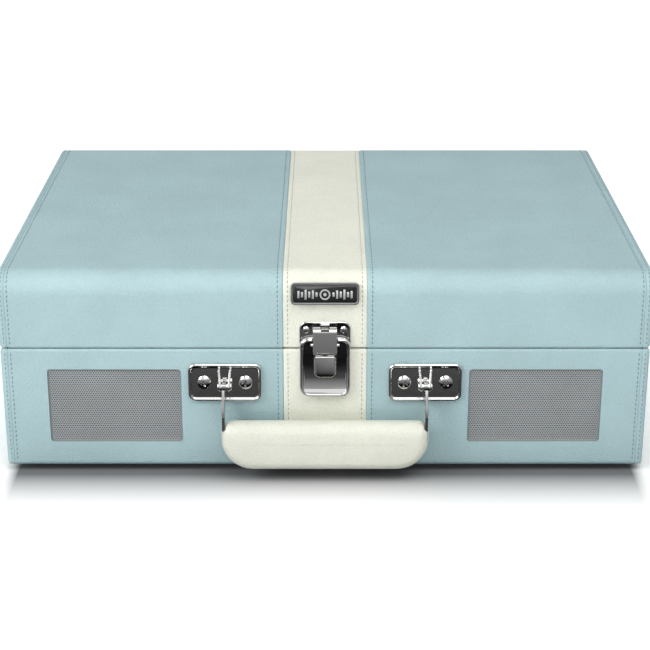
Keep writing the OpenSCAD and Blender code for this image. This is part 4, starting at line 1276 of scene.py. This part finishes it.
def even_ring(ring, count):
    """The same closed line with its points evenly shared, from the same first point."""
    spots = [Vector(p) for p in ring]
    lengths = [(spots[(k + 1) % len(spots)] - spots[k]).length for k in range(len(spots))]
    total = sum(lengths)
    out = []
    k = 0
    gone = 0.0
    for n in range(count):
        goal = total * n / count
        while gone + lengths[k] < goal:
            gone += lengths[k]
            k += 1
        share = (goal - gone) / max(lengths[k], 1e-9)
        out.append(spots[k].lerp(spots[(k + 1) % len(spots)], share))
    return out


grip_points = []
for ring in rings:
    shaped = []
    for p in even_ring(ring, 168):
        spot = grip_mid + Vector((p.x, p.z, p.y))
        bump = field.noise(spot * 55) * 0.10 * MM + field.noise(spot * 160) * 0.05 * MM
        away = Vector((p.x * 0.15, p.z, p.y * 0.6))
        if away.length > 1e-6:
            spot = spot - away.normalized() * (0.14 * MM - bump)
        shaped.append(spot)
    grip_points.append(shaped)
grip = stack("grip", grip_points)
for side in (-1, 1):
    slot_box = block("slot", (side * 54.3 * MM, -136.4 * MM, grip_high.z - 4.6 * MM),
                     (side * 58.5 * MM, -127.6 * MM, grip_high.z + 3 * MM))
    tidy_normals(slot_box)
    cut_away(grip, slot_box)
shade_smooth(grip, 60)
dress(grip, "handle", slot_of["handle_grip"], grip_leather, "handle_grip")

back_radii = [max(r - 4.5 * MM, 1.2 * MM) for r in grip_radii]
back_line = corner_outline(grip_w - 9 * MM, grip_h - 9 * MM, back_radii, 10)
grip_points = []
grip_faces = []
closed = back_line + [back_line[0]]
seam_y = grip_high.y - 0.72 * MM
for u, v, du, dv in walk(closed):
    along = Vector((du, 0, dv))
    out = Vector((0, 1, 0))
    capsule_rings = capsule(Vector((u, seam_y, grip_mid.z + v)), along, along.cross(out), out)
    grip_faces += ring_faces(capsule_rings, len(grip_points))
    grip_points += [p for ring in capsule_rings for p in ring]
grip_seam = new_piece("grip_stitches", grip_points, grip_faces)
shade_smooth(grip_seam, 75)
dress(grip_seam, "handle", "cream_leatherette", cream_thread)
rounded("handle_strap", 0.3, strap_steel)

# %% [markdown]
# ## Deck and everything inside
# Opening the lid shows a small belt-driven deck. Its parts are moulded or turned, so the CAD shapes are
# already right, and they only need round edges and their own materials. The controls get more: ribs for
# the fingers and a metal cap on each knob.

# %% Parts with rounded edges
plain_parts = {
    "deck_plate": (0.35, deck_plastic), "rubber_feet": (0.5, rubber),
    "platter": (0.4, platter_paint), "slip_mat": (0.25, felt),
    "spindle": (0.25, chrome), "bearing_housing": (0.25, turned_brass),
    "arm_base": (0.5, black_plastic), "arm_rest": (0.35, black_plastic),
    "arm_yoke": (0.35, black_plastic), "arm_tube": (0.12, aluminium),
    "headshell": (0.3, black_plastic), "cartridge": (0.25, red_plastic),
    "counterweight": (0.4, aluminium), "arm_clip": (0.25, black_plastic),
    "cue_lever": (0.25, aluminium), "lift_bar": (0.2, aluminium),
    "speed_slider": (0.25, black_plastic), "auto_stop_slider": (0.25, black_plastic),
    "adapter_45": (0.5, aluminium), "motor": (0.3, pressed_steel),
    "motor_pulley": (0.12, turned_brass), "drive_belt": (0.1, rubber),
    "amp_board": (0.12, circuit_green), "speaker_baskets": (0.3, black_steel),
    "speaker_cones": (0.2, cone_paper), "socket_plate": (0.35, black_plastic),
    "rca_sockets": (0.25, nickel), "dc_socket": (0.25, black_plastic),
    "jack_sockets": (0.2, black_plastic), "hinge_pins": (0.2, nickel),
    "hinge_lower_leaves": (0.2, nickel), "hinge_upper_leaves": (0.2, nickel),
    "lid_lining": (0.1, flock),
}
for node, (width, material) in plain_parts.items():
    rounded(node, width, material)
boards = [node for node in nodes if slot_of[node] == "fibreboard"]
for node in boards:
    rounded(node, 0.9, fibreboard)
print(len(plain_parts), "rounded parts and", len(boards), "boards")

# %% [markdown]
# A knob for fingers has ribs round its side. The outline's radius rises and falls about 30 times on the
# way round, and the ribs fade out at the top, where a chamfer leads to a flat face with a turned metal
# cap. A pale line on the cap shows where the knob points.

# %% Knobs
def ribbed_knob(node, ribs):
    low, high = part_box(node)
    middle = (low + high) / 2
    radius = (high.x - low.x) / 2
    base_z = deck_top + 0.25 * MM
    top_z = high.z
    rings = []
    count = ribs * 6
    levels = ((0.90, base_z, 0.0), (0.985, base_z + 0.4 * MM, 1.0), (0.97, top_z - 1.6 * MM, 1.0),
              (0.95, top_z - 0.8 * MM, 0.6), (0.90, top_z - 0.25 * MM, 0.0), (0.84, top_z - 0.05 * MM, 0.0),
              (0.72, top_z - 0.05 * MM, 0.0))
    for share, z, rib in levels:
        ring = []
        for k in range(count):
            a = 2 * pi * k / count
            wave = 0.5 + 0.5 * cos(ribs * a)
            r = radius * share - rib * 0.42 * MM * (1 - wave)
            ring.append((middle.x + r * cos(a), middle.y + r * sin(a), z))
        rings.append(ring)
    body = body_of[node]
    skirt = stack(node + "_skirt", rings)
    shade_smooth(skirt, 50)
    dress(skirt, body, slot_of[node], black_plastic, node)
    cap = turned(node + "_cap", [(radius * 0.76, -1.2 * MM), (radius * 0.76, -0.1 * MM),
                                 (radius * 0.73, 0.0), (radius * 0.30, -0.12 * MM),
                                 (radius * 0.04, -0.16 * MM)],
                 Matrix.Translation((middle.x, middle.y, top_z)), 64)
    dress(cap, body, slot_of[node], aluminium)
    mark = block(node + "_mark", (middle.x - 0.35 * MM, middle.y - radius * 0.90, top_z - 0.6 * MM),
                 (middle.x + 0.35 * MM, middle.y - radius * 0.56, top_z + 0.02 * MM))
    soften(mark, 0.08 * MM)
    dress(mark, body, slot_of[node], silver_print)


ribbed_knob("volume_knob", 30)
ribbed_knob("mode_knob", 26)

# %% [markdown]
# Scales are printed on the deck with dots and lines only. A printed mark is a very thin raised shape,
# which keeps it sharp at any distance. The phono sockets have coloured collars, red for right and white
# for left.

# %% Marks and collars
def dots_round(node, radius, count, start, stop):
    low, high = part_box(node)
    middle = (low + high) / 2
    dots = []
    for k in range(count):
        a = radians(start + (stop - start) * k / (count - 1))
        spot = Matrix.Translation((middle.x + radius * sin(a), middle.y - radius * cos(a), deck_top))
        size = (0.35 + 0.35 * k / (count - 1)) * MM
        dots.append(turned("dot", [(size, -0.2 * MM), (size, 0.04 * MM), (size * 0.9, 0.06 * MM)], spot,
                           16))
    return dots


marks = dots_round("volume_knob", 13.8 * MM, 11, 0, -280)
marks += dots_round("mode_knob", 11.6 * MM, 3, 0, -60)
for node, steps, travel in (("speed_slider", 3, 16 * MM), ("auto_stop_slider", 2, 6 * MM)):
    low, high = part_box(node)
    for k in range(steps):
        y = (low.y + high.y) / 2 + travel * k / (steps - 1)
        marks.append(block("line", (high.x + 2.2 * MM, y - 0.3 * MM, deck_top - 0.2 * MM),
                           (high.x + 6.2 * MM, y + 0.3 * MM, deck_top + 0.06 * MM)))
printed = join("deck_marks", marks)
dress(printed, "base", "deck_plastic", dark_print)
collar_y = 126.0 * MM
between_sockets = 80 * MM
for box_low, box_high in islands("rca_sockets"):
    middle = (box_low + box_high) / 2
    red = middle.x < between_sockets
    place = facing(middle.x, collar_y, middle.z, "back")
    collar = turned("rca_collar_" + ("red" if red else "white"),
                    [(5.4 * MM, 0.0), (5.4 * MM, 0.9 * MM), (5.2 * MM, 1.1 * MM), (4.2 * MM, 1.1 * MM)],
                    place, 40)
    dress(collar, "base", "nickel", red_plastic if red else deck_plastic)

# %% [markdown]
# ## Light and camera
# The case stands on a flat white sheet. One big soft light above and to the left gives the top its
# brightness, a second above it evens the top out, and a weak third in front keeps the face clear. The
# sheet is hidden from mirror reflections, so flat chrome reflects the dark lower half of the world, as it
# does in a room, and looks black where it faces the floor. Under the case and close round it, most of all
# in front, the sheet is painted dark as a painted contact shadow, so that little light comes up to the
# foot of the front. Behind and far away it glows a little, and the camera sees the world as white, so
# that the sheet has no visible edge.

# %% Stage
floor_mesh = bpy.data.meshes.new("white_sheet")
floor_mesh.from_pydata([(-6, -6, 0), (6, -6, 0), (6, 6, 0), (-6, 6, 0)], [], [(0, 1, 2, 3)])
floor = bpy.data.objects.new("white_sheet", floor_mesh)
bpy.context.scene.collection.objects.link(floor)
paper, paper_tree, paper_shader = new_finish("white_paper", (0.97, 0.97, 0.97), 0.9)
grain = noise(paper_tree, 6, 2)
paper_tone = shade_between(paper_tree, grain, (0.965, 0.965, 0.965), (0.975, 0.975, 0.975))
spot = paper_tree.nodes.new("ShaderNodeSeparateXYZ")
paper_tree.links.new(place_of(paper_tree), spot.inputs[0])
# Painted shadow: the sheet is painted dark under the case, fading out over 55 mm in front of it.
near = spread(paper_tree, spot.outputs["Y"], 0.0, 1.0, front_y - 0.055, front_y - 0.004)
across = add_up(paper_tree, spot.outputs["X"], 0.0, "ABSOLUTE")
inside = spread(paper_tree, across, 1.0, 0.0, side_x - 0.006, side_x + 0.003)
behind = spread(paper_tree, spot.outputs["Y"], 1.0, 0.0, back_y + 0.004, back_y + 0.03)
shadow_mask = add_up(paper_tree, add_up(paper_tree, near, inside, "MULTIPLY"), behind, "MULTIPLY")
painted_shadow = shade_between(paper_tree, add_up(paper_tree, shadow_mask, 1.6, "POWER"), (1, 1, 1), (0.16, 0.165, 0.17))
shaded = paper_tree.nodes.new("ShaderNodeMix")
shaded.data_type = "RGBA"
shaded.blend_type = "MULTIPLY"
shaded.inputs["Factor"].default_value = 1.0
paper_tree.links.new(paper_tone, shaded.inputs[6])
paper_tree.links.new(painted_shadow, shaded.inputs[7])
paper_tree.links.new(shaded.outputs[2], paper_shader.inputs["Base Color"])
back_lift = spread(paper_tree, spot.outputs["Y"], 0.0, 0.34, -0.12, 0.12)
span_node = paper_tree.nodes.new("ShaderNodeVectorMath")
span_node.operation = "LENGTH"
paper_tree.links.new(place_of(paper_tree), span_node.inputs[0])
far_lift = spread(paper_tree, span_node.outputs["Value"], 0.0, 0.6, 0.45, 1.4)
lift = add_up(paper_tree, back_lift, far_lift, "MAXIMUM")
paper_tree.links.new(lift, paper_shader.inputs["Emission Strength"])
paper_shader.inputs["Specular IOR Level"].default_value = 0.0
paper_shader.inputs["Emission Color"].default_value = (1, 1, 1, 1)
floor.data.materials.append(paper)
floor.visible_glossy = False

world = bpy.data.worlds.new("soft_room")
bpy.context.scene.world = world
world.use_nodes = True
sky = world.node_tree
background = sky.nodes["Background"]
position = sky.nodes.new("ShaderNodeTexCoord")
split = sky.nodes.new("ShaderNodeSeparateXYZ")
sky.links.new(position.outputs["Generated"], split.inputs[0])
ramp = sky.nodes.new("ShaderNodeValToRGB")
ramp.color_ramp.elements[0].position = 0.28
ramp.color_ramp.elements[0].color = (0.012, 0.012, 0.013, 1)
ramp.color_ramp.elements[1].position = 0.64
ramp.color_ramp.elements[1].color = (1.0, 1.0, 1.0, 1)
for stop, grey in ((0.315, 0.22), (0.40, 0.46), (0.50, 0.66)):
    step = ramp.color_ramp.elements.new(stop)
    step.color = (grey, grey, grey * 1.01, 1)
height = sky.nodes.new("ShaderNodeMapRange")
height.inputs["From Min"].default_value = -1
sky.links.new(split.outputs["Z"], height.inputs["Value"])
sky.links.new(height.outputs["Result"], ramp.inputs["Fac"])
sky.links.new(ramp.outputs["Color"], background.inputs["Color"])
background.inputs["Strength"].default_value = 0.42
seen = sky.nodes.new("ShaderNodeBackground")
seen.inputs["Color"].default_value = (1, 1, 1, 1)
seen.inputs["Strength"].default_value = 1.0
choose = sky.nodes.new("ShaderNodeMixShader")
rays = sky.nodes.new("ShaderNodeLightPath")
sky.links.new(rays.outputs["Is Camera Ray"], choose.inputs[0])
sky.links.new(background.outputs[0], choose.inputs[1])
sky.links.new(seen.outputs[0], choose.inputs[2])
sky.links.new(choose.outputs[0], sky.nodes["World Output"].inputs["Surface"])


def soft_light(name, place, target, width, depth, power):
    light = bpy.data.lights.new(name, "AREA")
    light.shape = "RECTANGLE"
    light.size = width
    light.size_y = depth
    light.energy = power
    lamp = bpy.data.objects.new(name, light)
    lamp.location = place
    lamp.rotation_euler = (Vector(target) - Vector(place)).to_track_quat("-Z", "Y").to_euler()
    bpy.context.scene.collection.objects.link(lamp)
    return lamp


soft_light("key_light", (-1.2, -0.8, 0.95), (0, 0, 0.06), 1.0, 0.9, 17)
soft_light("top_light", (0.4, -0.8, 1.4), (0, 0, 0.1), 1.4, 0.9, 14)
soft_light("front_light", (0, -2.0, 0.8), (0, -0.1, 0.05), 1.6, 0.8, 2)

# %% [markdown]
# The camera stands a metre in front and looks down at 21 degrees through a long lens, so the top is seen
# foreshortened and the sides not at all.

# %% Camera
lens = bpy.data.cameras.new("camera")
lens.sensor_width = 36
lens.lens = 94.9
lens.dof.use_dof = False
camera = bpy.data.objects.new("camera", lens)
camera.location = (0, -0.9905, 0.4235)
camera.rotation_euler = (radians(90 - 21.11), 0, 0)
bpy.context.scene.collection.objects.link(camera)
bpy.context.scene.camera = camera
bpy.context.scene.view_settings.view_transform = "Standard"
bpy.context.scene.view_settings.look = "None"

# %% [markdown]
# ## Finish
# The CAD nodes that no dressed piece replaces are listed, because they are still shown as they are.

# %% CAD nodes still shown
for name, node in nodes.items():
    if not node.hide_render:
        print("CAD node shown as it is:", name)
